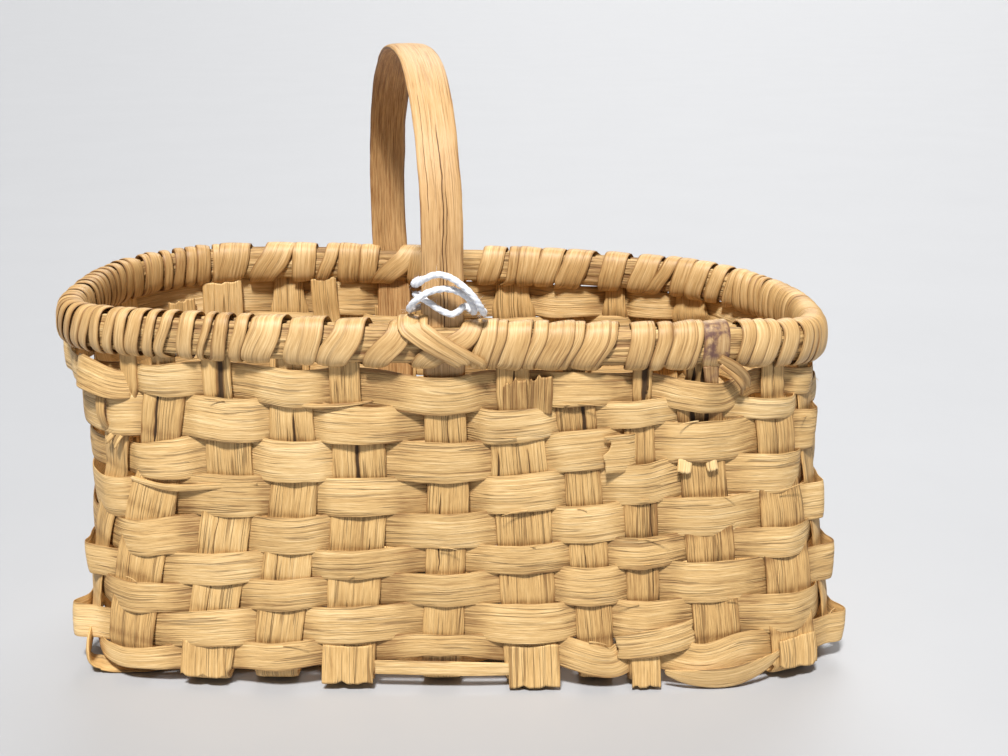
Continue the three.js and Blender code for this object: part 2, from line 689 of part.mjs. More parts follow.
CROSS_STAKES.forEach((_, i) => add(`cross_stake_${i + 1}`, crossStake(i), STAKE_COLOUR));
LONG_STAKES.forEach((_, i) => add(`long_stake_${i + 1}`, longStake(i), STAKE_COLOUR));
ROWS.forEach((_, i) => add(`weaver_row_${i + 1}`, weaverRow(i + 1), WEAVER_COLOUR));
add('rim_outer', rimStrip(1), RIM_COLOUR);
add('rim_inner', rimStrip(-1), RIM_COLOUR);

const turns = lashingTurns();
for (let i = 0; i < LASHING_COUNT; i++) {
  const [from, to] = [i, i + 1].map((part) => Math.round(part * turns.length / LASHING_COUNT));
  const sections = lashingLength(turns, from, to);
  console.log(`rim_lashing_${i + 1}: ${to - from} turns, least gap ${leastTurnGap(sections).toFixed(2)} mm`);
  add(`rim_lashing_${i + 1}`, skin(sections, false), LASHING_COLOUR);
}
add('handle_cross_wrap', handleCrossWrap(), LASHING_COLOUR);
add('handle', handle(), HANDLE_COLOUR, 0.6);

const string = stringPoints();
const stringLength = new THREE.CatmullRomCurve3(string).getLength();
const stringGap = leastCordGap(string, STRING_DIAMETER, STRING_APART);
console.log(`tag_string: ${stringLength.toFixed(1)} mm long, least gap ${stringGap.toFixed(2)} mm`);
add('tag_string', cord(string, STRING_DIAMETER, STRING_SIDES, STRING_STEPS), STRING_COLOUR, 0.95);

export default basket;
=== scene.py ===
"""A small splint basket with one fixed handle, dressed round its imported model.

The wall, the rim and every splint are worked out from the same few sizes as the model. All sizes
here are millimetres in the model's frame; a finished mesh gets metres. The floor is at z = 0, the
front of the basket faces -Y and its length runs along X.
"""

import logging
import math
from dataclasses import dataclass
from enum import Enum
from typing import Callable, Optional, Sequence, Union

import bpy
import numpy as np
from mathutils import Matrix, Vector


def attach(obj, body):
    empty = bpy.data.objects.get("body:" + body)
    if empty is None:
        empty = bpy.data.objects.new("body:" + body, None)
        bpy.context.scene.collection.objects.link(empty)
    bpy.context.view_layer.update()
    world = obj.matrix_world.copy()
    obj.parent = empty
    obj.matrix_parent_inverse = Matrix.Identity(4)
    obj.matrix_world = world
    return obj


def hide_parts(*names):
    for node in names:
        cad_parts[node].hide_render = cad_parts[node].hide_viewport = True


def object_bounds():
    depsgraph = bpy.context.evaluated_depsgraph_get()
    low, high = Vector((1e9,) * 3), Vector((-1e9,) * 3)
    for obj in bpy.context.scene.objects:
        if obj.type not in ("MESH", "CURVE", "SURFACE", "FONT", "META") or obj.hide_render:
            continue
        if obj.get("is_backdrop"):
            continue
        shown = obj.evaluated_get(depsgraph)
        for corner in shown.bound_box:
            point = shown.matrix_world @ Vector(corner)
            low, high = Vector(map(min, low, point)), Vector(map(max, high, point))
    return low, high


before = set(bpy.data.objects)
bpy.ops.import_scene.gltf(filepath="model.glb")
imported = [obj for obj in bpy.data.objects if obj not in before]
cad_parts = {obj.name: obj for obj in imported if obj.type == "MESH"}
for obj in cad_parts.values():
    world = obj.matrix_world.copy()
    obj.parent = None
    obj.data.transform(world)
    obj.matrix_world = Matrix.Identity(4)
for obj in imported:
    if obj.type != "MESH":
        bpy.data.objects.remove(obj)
CAD_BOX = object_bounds()

logging.basicConfig(level=logging.INFO, format="%(name)s: %(message)s")
log = logging.getLogger("basket")

Array = np.ndarray
Number = Union[float, Array]

MM = 0.001
CM = 10.0
BODY = "root"
TURN = 2 * np.pi
UP = np.array([0, 0, 1.0])
DOWN = -UP


class Side(Enum):
    """The four sides of the wall."""

    FRONT = "front"
    RIGHT = "right"
    BACK = "back"
    LEFT = "left"


class Slot(Enum):
    """The record's material slots."""

    STAKE = "stake_splint"
    WEAVER = "weaver_splint"
    RIM = "rim_splint"
    LASHING = "lashing_splint"
    HANDLE = "handle_splint"
    STRING = "cotton_string"


# Numbers that look random and are the same each run

HASH_STEPS = (127.1, 311.7, 74.7)
HASH_SCALE = 43758.5453
FINE_OCTAVE = 2.7


def hashed(i: Number, j: Number, seed: float) -> Number:
    """Gives pairs of whole numbers a value each: the broken part of a large sine.

    Args:
        i: First whole numbers.
        j: Second whole numbers.
        seed: Picks another set of values.

    Returns:
        Values from -1 to 1.
    """
    value = np.sin(i * HASH_STEPS[0] + j * HASH_STEPS[1] + seed * HASH_STEPS[2]) * HASH_SCALE
    return 2 * (value - np.floor(value)) - 1


def ease(part: Number) -> Number:
    """Smooth step: 3 t squared minus 2 t cubed, held between 0 and 1."""
    part = np.clip(part, 0, 1)
    return part * part * (3 - 2 * part)


def noise(u: Array, v: Number, seed: float) -> Array:
    """Smooth noise: lattice values blended by a smooth step along both ways.

    Args:
        u: Places along the first way, in cells.
        v: Places along the second way, in cells.
        seed: Picks another pattern.

    Returns:
        Values from -1 to 1.
    """
    u, v = np.broadcast_arrays(u, v)
    i, j = np.floor(u), np.floor(v)
    s, t = ease(u - i), ease(v - j)
    low = lerp(hashed(i, j, seed), hashed(i + 1, j, seed), s)
    high = lerp(hashed(i, j + 1, seed), hashed(i + 1, j + 1, seed), s)
    return lerp(low, high, t)


def wobble(u: Array, seed: float) -> Array:
    """Smooth noise along one way, with a finer octave of a third of its strength."""
    return noise(u, 0.0, seed) * 0.75 + noise(u * FINE_OCTAVE, 0.0, seed + 9) * 0.25


def waver(u: Array, strength: float, cells: float, seed: float) -> Array:
    """The wobble at a strength, with a number of cells for each step of u."""
    return strength * wobble(u * cells, seed)


def lerp(a: Number, b: Number, part: Number) -> Number:
    """A straight blend from a to b."""
    return a + (b - a) * part


def unit(vectors: Array) -> Array:
    """Vectors scaled to length one."""
    return vectors / np.maximum(np.linalg.norm(vectors, axis=-1, keepdims=True), 1e-12)


def bell(offset: Number) -> Number:
    """A bell curve: e to the power of minus the offset squared."""
    return np.exp(-(offset**2))


def below(values: Array, top: float, way: float) -> Array:
    """Smooth step from 0 at a value to 1 some way below it."""
    return ease((top - values) / way)


def above(values: Array, low: float, way: float) -> Array:
    """Smooth step from 0 at a value to 1 some way above it."""
    return ease((values - low) / way)


def softened(values: Array, spread: float, wrap: bool = False) -> Array:
    """Values averaged with a bell curve along their first axis.

    Args:
        values: One or more columns of values at even steps.
        spread: Standard deviation of the bell curve, in steps.
        wrap: Whether the last value is followed by the first.

    Returns:
        The averaged values.
    """
    reach = int(3 * spread) + 1
    weights = np.exp(-0.5 * (np.arange(-reach, reach + 1) / spread) ** 2)
    weights /= weights.sum()
    pad = [(reach, reach)] + [(0, 0)] * (values.ndim - 1)
    padded = np.pad(values, pad, mode="wrap" if wrap else "edge")
    columns = padded.reshape(len(padded), -1).T
    out = np.stack([np.convolve(column, weights, mode="valid") for column in columns], axis=1)
    return out.reshape(values.shape)


def walked(points: Array) -> Array:
    """Distance to each point along the line through them all."""
    return np.concatenate([[0], np.cumsum(np.linalg.norm(np.diff(points, axis=0), axis=1))])


def read_at(spots: Array, along: Array, values: Array) -> Array:
    """Columns of values given at distances along a path, read at other distances."""
    return np.stack([np.interp(spots, along, column) for column in values.T], axis=-1)


def through(points: Sequence[Sequence[float]], step: float) -> Array:
    """A smooth path through points: cubic between each two, its slope set by their neighbours.

    Args:
        points: Points of any number of columns; the first three are places.
        step: Distance from one point of the path to the next.

    Returns:
        The path's points, at even steps.
    """
    knots = np.asarray(points, float)
    slope = np.gradient(knots, axis=0)
    number = np.linspace(0, len(knots) - 1, 60 * len(knots))
    i = np.minimum(number.astype(int), len(knots) - 2)
    t = (number - i)[:, None]
    fine = (
        knots[i] * (2 * t**3 - 3 * t**2 + 1) + slope[i] * (t**3 - 2 * t**2 + t)
        + knots[i + 1] * (3 * t**2 - 2 * t**3) + slope[i + 1] * (t**3 - t**2)
    )
    along = walked(fine[:, :3])
    return read_at(np.linspace(0, along[-1], max(int(along[-1] / step), 3) + 1), along, fine)


# The wall that every splint follows


@dataclass(frozen=True)
class Outline:
    """What the wall's outline loses at one height, how square its corners are, and its shift."""

    shorter: float
    narrower: float
    front: float
    back_left: float
    back_right: float
    shift: float


@dataclass(frozen=True)
class Row:
    """How wide a weaver row is at the left, in the middle and at the right."""

    left: float
    middle: float
    right: float


class Wall:
    """The wall's middle surface: a superellipse at each height, walked by a share of its length."""

    LENGTH = 247.0
    WIDTH = 123.0
    OUTLINES = (
        (0.0, Outline(0, 0, 5, 4.5, 4.5, 4.6)),
        (0.7, Outline(11, 5, 3.6, 3.5, 3, 2.2)),
        (1.0, Outline(6.4, 4, 3.2, 3.4, 2.2, -1.1)),
    )
    SINK_START = 75.0
    SINK_REACH = 45.0
    SINK_LEFT = 0.024
    SINK_RIGHT = 0.058
    ROWS = (
        Row(10, 11.5, 7.5), Row(13, 10.5, 6.5), Row(12.5, 12, 12.5), Row(12.5, 11, 12),
        Row(12, 10.5, 12), Row(9.5, 8.5, 9), Row(9.5, 10, 12.5), Row(11, 11.5, 12.5),
        Row(8.5, 8.5, 10.5),
    )
    LAST_LIFT = Row(0.2, 2.9, 0.4)
    STATION_SHARE = 0.7
    STAKE_THICKNESS = 1.2
    FIT = 0.35
    FLOOR_LEVEL = STAKE_THICKNESS * 1.5 + FIT
    FOLD_RADIUS = 4.0
    FOLD_TOP = FLOOR_LEVEL + FOLD_RADIUS
    RIM_CLEAR = 3.0
    RIM_HALF = 5.75
    STEPS = 720
    LEVELS = 104

    def __init__(self) -> None:
        """Works out the tables between shares and angles."""
        self.half_waist = (self.LENGTH - self.OUTLINES[1][1].shorter) / 2
        self.height = float(self.line(0, self.half_waist * np.array([-1.0, 0.0, 1.0])).min())
        self._levels = np.linspace(0, self.height, self.LEVELS)
        angles = np.pi + np.linspace(0, TURN, self.STEPS + 1)
        x, y = self._ellipse(self._levels[:, None], angles[None, :])
        reach = np.cumsum(np.hypot(np.diff(x), np.diff(y)), axis=1)
        reach = np.hstack([np.zeros((self.LEVELS, 1)), reach])
        self._lengths = reach[:, -1]
        self._shares = reach / reach[:, -1:]
        even = np.linspace(0, 1, self.STEPS + 1)
        self._angles = np.stack([np.interp(even, row, angles) for row in self._shares])
        self.rim_length = float(self.length_at(self.height))

    def _by_place(self, sizes: Row, x: Array) -> Array:
        """A size given at the left, in the middle and at the right, eased between them.

        Args:
            sizes: The three sizes.
            x: Places along the basket.

        Returns:
            The size at each place.
        """
        share = np.clip(np.asarray(x, float) / (self.STATION_SHARE * self.half_waist), -1, 1)
        far = np.where(share < 0, sizes.left, sizes.right)
        return lerp(sizes.middle, far, ease(np.abs(share)))

    def line(self, row: int, x: Array) -> Array:
        """Height of the line under a row, which sinks by a square towards the ends.

        Args:
            row: Row number; line 0 is the top of the first row.
            x: Places along the basket.

        Returns:
            Heights.
        """
        rows_below = sum(self._by_place(sizes, x) for sizes in self.ROWS[row:])
        end = np.maximum(np.abs(x) - self.SINK_START, 0) / self.SINK_REACH
        sunk = np.where(np.asarray(x) < 0, self.SINK_LEFT, self.SINK_RIGHT) * end**2
        return self.FOLD_TOP + self._by_place(self.LAST_LIFT, x) + rows_below * (1 - sunk)

    def row_middle(self, row: int, x: Array) -> Array:
        """Height of the middle of a row, numbered from 1 at the top."""
        return (self.line(row - 1, x) + self.line(row, x)) / 2

    def rim_level(self, x: Array) -> Array:
        """Height of the middle of the rim."""
        return self.line(0, x) + self.RIM_CLEAR + self.RIM_HALF

    def _size(self, z: Array, name: str) -> Array:
        """One of the outline's sizes at heights, straight between the three outlines."""
        share = np.clip(np.asarray(z, float) / self.height, 0, 1)
        stops, outlines = zip(*self.OUTLINES)
        return np.interp(share, stops, [getattr(outline, name) for outline in outlines])

    def measures(self, z: Array) -> tuple[Array, Array, Array]:
        """Half length, half width and shift of the outline at heights."""
        length, width = self._size(z, "shorter"), self._size(z, "narrower")
        return (self.LENGTH - length) / 2, (self.WIDTH - width) / 2, self._size(z, "shift")

    def _power(self, z: Array, x: Array, y: Array) -> Array:
        """How square the outline is on the side where places lie."""
        front, left, right = (self._size(z, name) for name in ("front", "back_left", "back_right"))
        return np.where(y < 0, front, np.where(x < 0, left, right))

    def _ellipse(self, z: Array, angle: Array) -> tuple[Array, Array]:
        """Superellipse: r is (|cos/a|^n + |sin/b|^n) to the power of minus one over n.

        Args:
            z: Heights.
            angle: Angles round the basket.

        Returns:
            Places along and across the basket, before the shift.
        """
        a, b, _ = self.measures(z)
        c, s = np.cos(angle), np.sin(angle)
        power = self._power(z, c, s)
        r = (np.abs(c / a) ** power + np.abs(s / b) ** power) ** (-1 / power)
        return r * c, r * s

    def _look_up(self, table: Array, z: Array, column: Array) -> Array:
        """Reads a table, blended both ways.

        Args:
            table: One row for each level and one column for each step round.
            z: Heights.
            column: Columns as shares of all the steps.

        Returns:
            The table's values there.
        """
        z, column = np.broadcast_arrays(z, column)
        row = np.clip(z, 0, self.height) / self.height * (self.LEVELS - 1)
        column = np.clip(column, 0, 1) * self.STEPS
        i = np.minimum(row.astype(int), self.LEVELS - 2)
        j = np.minimum(column.astype(int), self.STEPS - 1)
        s, t = row - i, column - j
        low = lerp(table[i, j], table[i, j + 1], t)
        high = lerp(table[i + 1, j], table[i + 1, j + 1], t)
        return lerp(low, high, s)

    def length_at(self, z: Array) -> Array:
        """Length of the outline at heights."""
        return np.interp(z, self._levels, self._lengths)

    def place(self, share: Array, z: Array, out: Array = 0.0) -> Array:
        """Points at shares of the outline, at heights and distances outside the wall's middle.

        Args:
            share: Shares of the outline, 0 at the left end and 0.25 in the middle of the front.
            z: Heights.
            out: Distances outside the wall's middle.

        Returns:
            Points, one row of x, y, z each.
        """
        x, y = self._spot(share, z)
        points = np.stack(np.broadcast_arrays(x, y, z), axis=-1).astype(float)
        return points + self.normal(share, z) * np.asarray(out, float)[..., None]

    def _spot(self, share: Array, z: Array) -> tuple[Array, Array]:
        """Place along and across the basket."""
        share = np.asarray(share, float)
        angle = self._look_up(self._angles, z, share - np.floor(share))
        x, y = self._ellipse(z, angle)
        return x + self.measures(z)[2], y

    def normal(self, share: Array, z: Array) -> Array:
        """Level directions straight out of the wall: the slope of the superellipse.

        Args:
            share: Shares of the outline.
            z: Heights.

        Returns:
            Directions of length one.
        """
        a, b, shift = self.measures(z)
        x, y = self._spot(share, z)
        x = x - shift
        power = self._power(z, x, y)
        nx = np.sign(x) * np.abs(x / a) ** (power - 1) / a
        ny = np.sign(y) * np.abs(y / b) ** (power - 1) / b
        return unit(np.stack(np.broadcast_arrays(nx, ny, np.zeros_like(nx)), axis=-1))

    def share_at(self, side: Side, place: Array, z: Array) -> Array:
        """Share of the outline at a place on one side.

        Args:
            side: The side of the wall.
            place: Place as a share of the half length, or of the half width at an end.
            z: Heights.

        Returns:
            Shares of the outline; past 1 on the front half of the left end.
        """
        a, b, _ = self.measures(z)
        far = 1 if side in (Side.BACK, Side.RIGHT) else -1
        if side in (Side.FRONT, Side.BACK):
            power = self._power(z, place, far)
            x, y = place * a, far * b * (1 - np.abs(place) ** power) ** (1 / power)
        else:
            power = self._power(z, far, place)
            x, y = far * a * (1 - np.abs(place) ** power) ** (1 / power), place * b
        angle = np.arctan2(y, x) + TURN
        share = self._look_up(self._shares, z, (angle - np.pi) / TURN)
        return share + (side is Side.LEFT) * (share < 0.5)

    def share_of(self, side: Side, x: Array, z: Array) -> Array:
        """Share of the outline at places along the basket, on its front or back."""
        a, _, shift = self.measures(z)
        return self.share_at(side, np.clip((x - shift) / a, -0.999, 0.999), z)


WALL = Wall()


@dataclass(frozen=True)
class Split:
    """A crack along a splint: where across, from and to which height, how wide and how deep."""

    across: float
    low: float
    high: float
    gap: float = 0.8
    depth: float = 0.7


@dataclass(frozen=True)
class Stake:
    """One end of a splint that stands in the wall, with its places at the foot and the top.

    Its bow is how far its middle stands off the line from foot to top.
    """

    side: Side
    index: int
    width: float
    base: float
    top: float
    bow: float = 0.0
    leg: bool = False

    def share(self, z: Array) -> Array:
        """Share of the outline where the stake's middle stands at heights."""
        part = np.clip(np.asarray(z, float) / WALL.height, 0, 1)
        place = lerp(self.base, self.top, part) + self.bow * 4 * part * (1 - part)
        return WALL.share_at(self.side, place, z)

    def x(self, z: float) -> float:
        """Place along the basket of the stake's middle at a height."""
        return float(WALL.place(self.share(z), z)[..., 0])


# Each cross stake's place at the foot, at the front top and at the back top, its bow and width
CROSS_STAKES = (
    (-0.86, -0.69, -0.709, -0.03, 13.0), (-0.655, -0.534, -0.501, 0, 13.8),
    (-0.477, -0.368, -0.342, 0, 13.2), (-0.287, -0.206, -0.176, 0, 15.4),
    (-0.048, 0.015, 0.006, 0, 12.6), (0.187, 0.185, 0.191, 0, 16.0),
    (0.357, 0.339, 0.363, 0, 10.8), (0.475, 0.501, 0.505, 0, 9.5),
    (0.673, 0.655, 0.62, 0, 13.8), (0.865, 0.852, 0.73, 0.012, 14.5),
)
# Each long stake's place at the foot, at the left top and at the right top, and its width
LONG_STAKES = (
    (-0.6, -0.8, -0.56, 10.0), (-0.2, -0.19, -0.19, 14.0), (0.2, 0.19, 0.19, 14.0),
    (0.6, 0.56, 0.56, 14.0),
)
FRONT_LEG, BACK_LEG = 4, 3
LEG_END_ROW = 5


def all_stakes() -> list[Stake]:
    """Every standing end, made from the two tables.

    Returns:
        The ends, from the front's left round by the right end.
    """
    ends = {side: [] for side in Side}
    for i, (base, front, back, bow, width) in enumerate(CROSS_STAKES):
        ends[Side.FRONT].append(Stake(Side.FRONT, i, width, base, front, bow, i == FRONT_LEG))
        ends[Side.BACK].append(Stake(Side.BACK, i, width, base, back, bow, i == BACK_LEG))
    for i, (base, left, right, width) in enumerate(LONG_STAKES):
        ends[Side.LEFT].append(Stake(Side.LEFT, i, width, base, left))
        ends[Side.RIGHT].append(Stake(Side.RIGHT, i, width, base, right))
    return [*ends[Side.FRONT], *ends[Side.RIGHT], *ends[Side.BACK][::-1], *ends[Side.LEFT][::-1]]


STAKES = all_stakes()
CORNER = len(STAKES) - 1


def stake_at(side: Side, index: int) -> Stake:
    """The standing end with a number on a side."""
    return next(s for s in STAKES if s.side is side and s.index == index)


# Meshes


@dataclass
class MeshData:
    """Vertices, faces and the values that go with them, ready for one mesh."""

    points: Array
    faces: Array
    fibre: Array
    tone: Array
    stain: Array

    @staticmethod
    def joined(parts: Sequence["MeshData"]) -> "MeshData":
        """Several sets of arrays as one, with each one's faces counted on.

        Args:
            parts: The sets.

        Returns:
            One set.
        """
        starts = np.cumsum([0] + [len(p.points) for p in parts[:-1]])
        faces = np.concatenate([p.faces + start for p, start in zip(parts, starts)])
        points, fibre, tone, stain = (
            np.concatenate([getattr(p, name) for p in parts])
            for name in ("points", "fibre", "tone", "stain")
        )
        return MeshData(points, faces, fibre, tone, stain)


def tube_faces(rings: int, around: int, closed: bool) -> Array:
    """Quads between the rings of a tube, and across both ends of an open one.

    Args:
        rings: How many rings of points.
        around: How many points each ring has.
        closed: Whether the last ring is followed by the first.

    Returns:
        Four point numbers for each face.
    """
    grid = np.arange(rings * around).reshape(rings, around)
    here, after = (grid, np.roll(grid, -1, axis=0)) if closed else (grid[:-1], grid[1:])
    quads = [np.stack([here, np.roll(here, -1, 1), np.roll(after, -1, 1), after], -1)]
    if not closed:
        for row, way in ((grid[0], 1), (grid[-1], -1)):
            top, low = row[: around // 2], row[::-1][: around // 2]
            quads.append(np.stack([top[:-1], low[:-1], low[1:], top[1:]], -1)[:, ::way])
    return np.concatenate([q.reshape(-1, 4) for q in quads])


def outward(points: Array, faces: Array) -> Array:
    """Quads turned to face outwards: their volume, summed over triangles from 0, is positive."""
    a, b, c, d = (points[faces[:, k]] for k in range(4))
    volume = np.einsum("ij,ij->", a, np.cross(b, c)) + np.einsum("ij,ij->", a, np.cross(c, d))
    return faces if volume > 0 else faces[:, ::-1]


@dataclass
class Strip:
    """A flat splint carried along a path.

    Its section is a thin bar with soft edges, crowned by `cup`. Fibres show as fine ridges, and
    the fibres at each end break off at uneven lengths, up to `ragged`. Its edges stray by
    `wander` and stand up by `lip`. Its tone is darker along both edges: partly dirt, partly
    painted shade where one splint laps over another.
    """

    LIPS = 0.012
    BREAKS = 4.3
    EDGE_WAVES = (13.0, 11.0)
    SPLIT_END = 6.0
    LONG_RIDGE = (34.0, 1.5, 0.6)
    SHORT_RIDGE = (17.0, 0.7, 0.4)
    SWELL = (21.0, 0.12)
    GROOVE_SHADE = 1.3

    centre: Array
    normal: Array
    width: Number
    thickness: float
    seed: float
    cup: float = 0.2
    roll: Number = 0.0
    closed: bool = False
    columns: int = 17
    step: float = 1.0
    ragged: tuple[float, float] = (0.0, 0.0)
    tone: Number = 0.0
    # Tone added on the inner face only: painted light and painted shade on that face.
    inner_light_and_shade: Number = 0.0
    stain: Number = 0.0
    relief: float = 0.09
    wander: float = 0.25
    lip: float = 0.1
    # How much darker both edges are: partly dirt, partly painted shade where one splint laps over
    # another.
    edge_dirt_and_shade: float = 0.26
    splits: Sequence[Split] = ()
    heights: Optional[Array] = None

    def _read(self, values: Number, u: Array, along: Array) -> Array:
        """Values given along the path, read at distances; a single value holds everywhere.

        Args:
            values: One value, or one or three for each point of the path.
            u: The distances to read at.
            along: The distance of each point of the path.

        Returns:
            The values at `u`.
        """
        if np.ndim(values) == 0:
            return np.full(u.shape, float(values))
        if self.closed and len(values) == len(along) - 1:
            values = np.concatenate([values, values[:1]])
        return np.interp(u, along, values) if np.ndim(values) == 1 else read_at(u, along, values)

    def _axes(self, path: Array, u: Array, along: Array) -> tuple[Array, Array, Array]:
        """Where each column's path lies, and its directions across and out, turned by the roll.

        Args:
            path: The path's points, closed if it is a loop.
            u: The distances to read at.
            along: The distance of each point of the path.

        Returns:
            Points, directions across and directions out.
        """
        tangent = unit(np.gradient(path, axis=0))
        if self.closed:
            tangent[0] = tangent[-1] = unit(path[1] - path[-2])
        point, forward, facing = (self._read(v, u, along) for v in (path, tangent, self.normal))
        forward = unit(forward)
        sideways = unit(np.cross(unit(facing), forward))
        facing = np.cross(forward, sideways)
        turn = self._read(self.roll, u, along)[..., None]
        c, s = np.cos(turn), np.sin(turn)
        return point, sideways * c + facing * s, facing * c - sideways * s

    def _cracked(self, across: Array, height: Array) -> tuple[Array, list[Array]]:
        """What the splits do: each parts the fibres beside it and leaves a groove.

        Args:
            across: Places across the splint, from -1 to 1.
            height: Heights of the points, by which the splits are placed.

        Returns:
            How far points move across, and for each split how open its groove is, from 0 to 1.
        """
        move, groove = np.zeros(height.shape), []
        for k, split in enumerate(self.splits):
            beside = across - split.across
            parted = below(height, split.high, self.SPLIT_END)
            parted = parted * above(height, split.low, self.SPLIT_END)
            move += np.sign(beside) * np.exp(-np.abs(beside) * 3) * split.gap / 2 * parted
            move += wobble(height / 7, self.seed + k) * bell(beside * 3) * 0.45 * parted
            groove.append((beside == 0) * ease(parted * 3))
        return move, groove

    def data(self) -> MeshData:
        """Works out the mesh on a grid of stations along the splint and columns across it.

        Returns:
            The closed skin: the outer face, the inner face and the ends.
        """
        path = np.concatenate([self.centre, self.centre[:1]]) if self.closed else self.centre
        heights = self.centre[:, 2] if self.heights is None else self.heights
        along = walked(path)
        count = max(int(along[-1] / self.step), 4)
        part = np.linspace(0, 1, count + 1)[: count if self.closed else None, None]
        across = np.sin(np.linspace(-np.pi / 2, np.pi / 2, self.columns))
        lines = np.array([split.across for split in self.splits])
        across = np.unique(np.concatenate([across, lines - self.LIPS, lines, lines + self.LIPS]))
        across = across[None, :]
        first, last = (
            amount * (0.5 + 0.5 * noise(across * self.BREAKS + self.seed, 0.0, end)) ** 1.3
            for amount, end in zip(self.ragged, (3.1, 5.7))
        )
        u = first + part * (along[-1] - first - last)
        point, sideways, facing = self._axes(path, u, along)
        width, height, tone, inner_light_and_shade, stain = (
            self._read(v, u, along)
            for v in (self.width, heights, self.tone, self.inner_light_and_shade, self.stain)
        )

        right, left = (
            wobble(u / wave, self.seed + step) for wave, step in zip(self.EDGE_WAVES, (0, 40))
        )
        stray = np.abs(across) ** 3 * np.sign(across) * np.where(across > 0, right, left)
        move, grooves = self._cracked(across, height)
        place = across * width / 2 + stray * self.wander + move
        sunk = sum((g * split.depth for g, split in zip(grooves, self.splits)), np.zeros(u.shape))
        # Darker along both edges: partly dirt, partly painted shade where splints lap.
        tone = tone - self.edge_dirt_and_shade * bell((1 - np.abs(across)) * width)
        # Painted shade: darker in the sunk grooves of the splits.
        tone = tone - self.GROOVE_SHADE * sum(grooves, np.zeros(u.shape))

        length, wide, weight = self.LONG_RIDGE
        ridge = noise(u / length, place / wide + self.seed, self.seed) * weight
        length, wide, weight = self.SHORT_RIDGE
        ridge += noise(u / length, place / wide, self.seed + 3) * weight
        length, weight = self.SWELL
        swell = wobble(u / length, self.seed + 6) * weight
        crown = self.cup * (1 - across**2) + swell + self.lip * across**8
        half = self.thickness / 2 * (1 - 0.75 * across**8)
        outer = crown + half + ridge * self.relief * (1 - across**6) - sunk
        inner = crown - half - ridge * self.relief * 0.4
        middle = point + sideways * place[..., None]
        outer, inner = (middle + facing * level[..., None] for level in (outer, inner))
        points = np.concatenate([outer, inner[:, ::-1]], axis=1).reshape(-1, 3)
        faces = outward(points, tube_faces(len(part), 2 * across.size, self.closed))
        fibre = np.stack([u / CM + self.seed * 7.3, place / CM + self.seed * 3.1], axis=-1)
        return MeshData(
            points, faces, np.concatenate([fibre, fibre[:, ::-1]], axis=1).reshape(-1, 2),
            np.concatenate([tone, (tone + inner_light_and_shade)[:, ::-1]], axis=1).ravel(),
            np.concatenate([stain, stain * 0], axis=1).ravel(),
        )


@dataclass(frozen=True)
class Loose:
    """A loose end, flap or doubled stretch of splint on the front or back wall.

    Its route is a list of places along the basket, heights, distances out from the wall's middle,
    and widths there.
    """

    THICKNESS = 0.6
    LEAST_WIDTH = 0.3

    route: tuple[tuple[float, float, float, float], ...]
    seed: float
    side: Side = Side.FRONT
    ragged: tuple[float, float] = (0.6, 2.0)
    tone: float = 0.0
    stain: float = 0.0
    roll: float = 0.0

    def data(self) -> MeshData:
        """A strip along its route, which faces into the basket where it lies inside the wall.

        Returns:
            The strip's arrays.
        """
        x, z, out, width = through(self.route, 1.0).T
        share = WALL.share_of(self.side, x, z)
        facing = WALL.normal(share, z) * np.where(out < 0, -1, 1)[:, None]
        return Strip(
            WALL.place(share, z, out), facing, np.maximum(width, self.LEAST_WIDTH), self.THICKNESS,
            self.seed, columns=15, step=0.7, ragged=self.ragged, tone=self.tone, stain=self.stain,
            roll=self.roll, relief=0.13, cup=0.15,
        ).data()


def sliver(place: Array, way: Array, out: Array, length: float, seed: float) -> MeshData:
    """A fibre that has sprung loose: a thin strip that bends away by the square of its length.

    Args:
        place: Where it leaves the splint.
        way: Its direction there.
        out: The direction out of the wall.
        length: Its length.
        seed: Picks its bend and width.

    Returns:
        The sliver's arrays.
    """
    part = np.linspace(0, 1, 9)[:, None]
    bend, lift, broad = hashed(np.arange(3.0), 2.0, seed)
    rise = length * (0.16 + 0.1 * bend)
    path = place + way * length * part + out * (rise * part**2 - 0.15)
    path = path + UP * length * 0.22 * lift * part**2
    width = (0.45 + 0.2 * broad) * (1 - 0.8 * part[:, 0])
    return Strip(
        path, np.broadcast_to(out, path.shape), width, 0.22, seed, cup=0.02, columns=4, step=1.2,
        relief=0.0, wander=0.05, lip=0.0, tone=0.15,
    ).data()


def make_piece(
    name: str, parts: Sequence[MeshData], material: bpy.types.Material, slot: Slot, *nodes: str
) -> bpy.types.Object:
    """Makes one piece that rides on the basket and stands for nodes of the model.

    Args:
        name: The piece's name.
        parts: The arrays of its strips, joined into one mesh.
        material: Its finish.
        slot: The record's slot of that finish; not used.
        *nodes: Nodes of the model that it replaces.

    Returns:
        The new object.
    """
    data = MeshData.joined(parts)
    mesh = bpy.data.meshes.new(name)
    mesh.from_pydata(data.points * MM, [], data.faces)
    mesh.polygons.foreach_set("use_smooth", np.ones(len(data.faces), bool))
    corners = np.zeros(len(mesh.loops), np.int32)
    mesh.loops.foreach_get("vertex_index", corners)
    layer = mesh.uv_layers.new(name="fibre")
    layer.data.foreach_set("uv", data.fibre[corners].astype(np.float32).ravel())
    # The tone holds random tone, and also painted light and painted shade.
    for label, values in (("tone", data.tone), ("stain", data.stain)):
        attribute = mesh.attributes.new(label, "FLOAT", "POINT")
        attribute.data.foreach_set("value", values.astype(np.float32))
    mesh.materials.append(material)
    mesh.validate()
    mesh.update()
    piece = bpy.data.objects.new(name, mesh)
    bpy.context.scene.collection.objects.link(piece)
    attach(piece, BODY)
    if nodes:
        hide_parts(*nodes)
    log.info("%s: %d faces, stands for %s", name, len(data.faces), ", ".join(nodes) or "nothing")
    return piece


# Materials


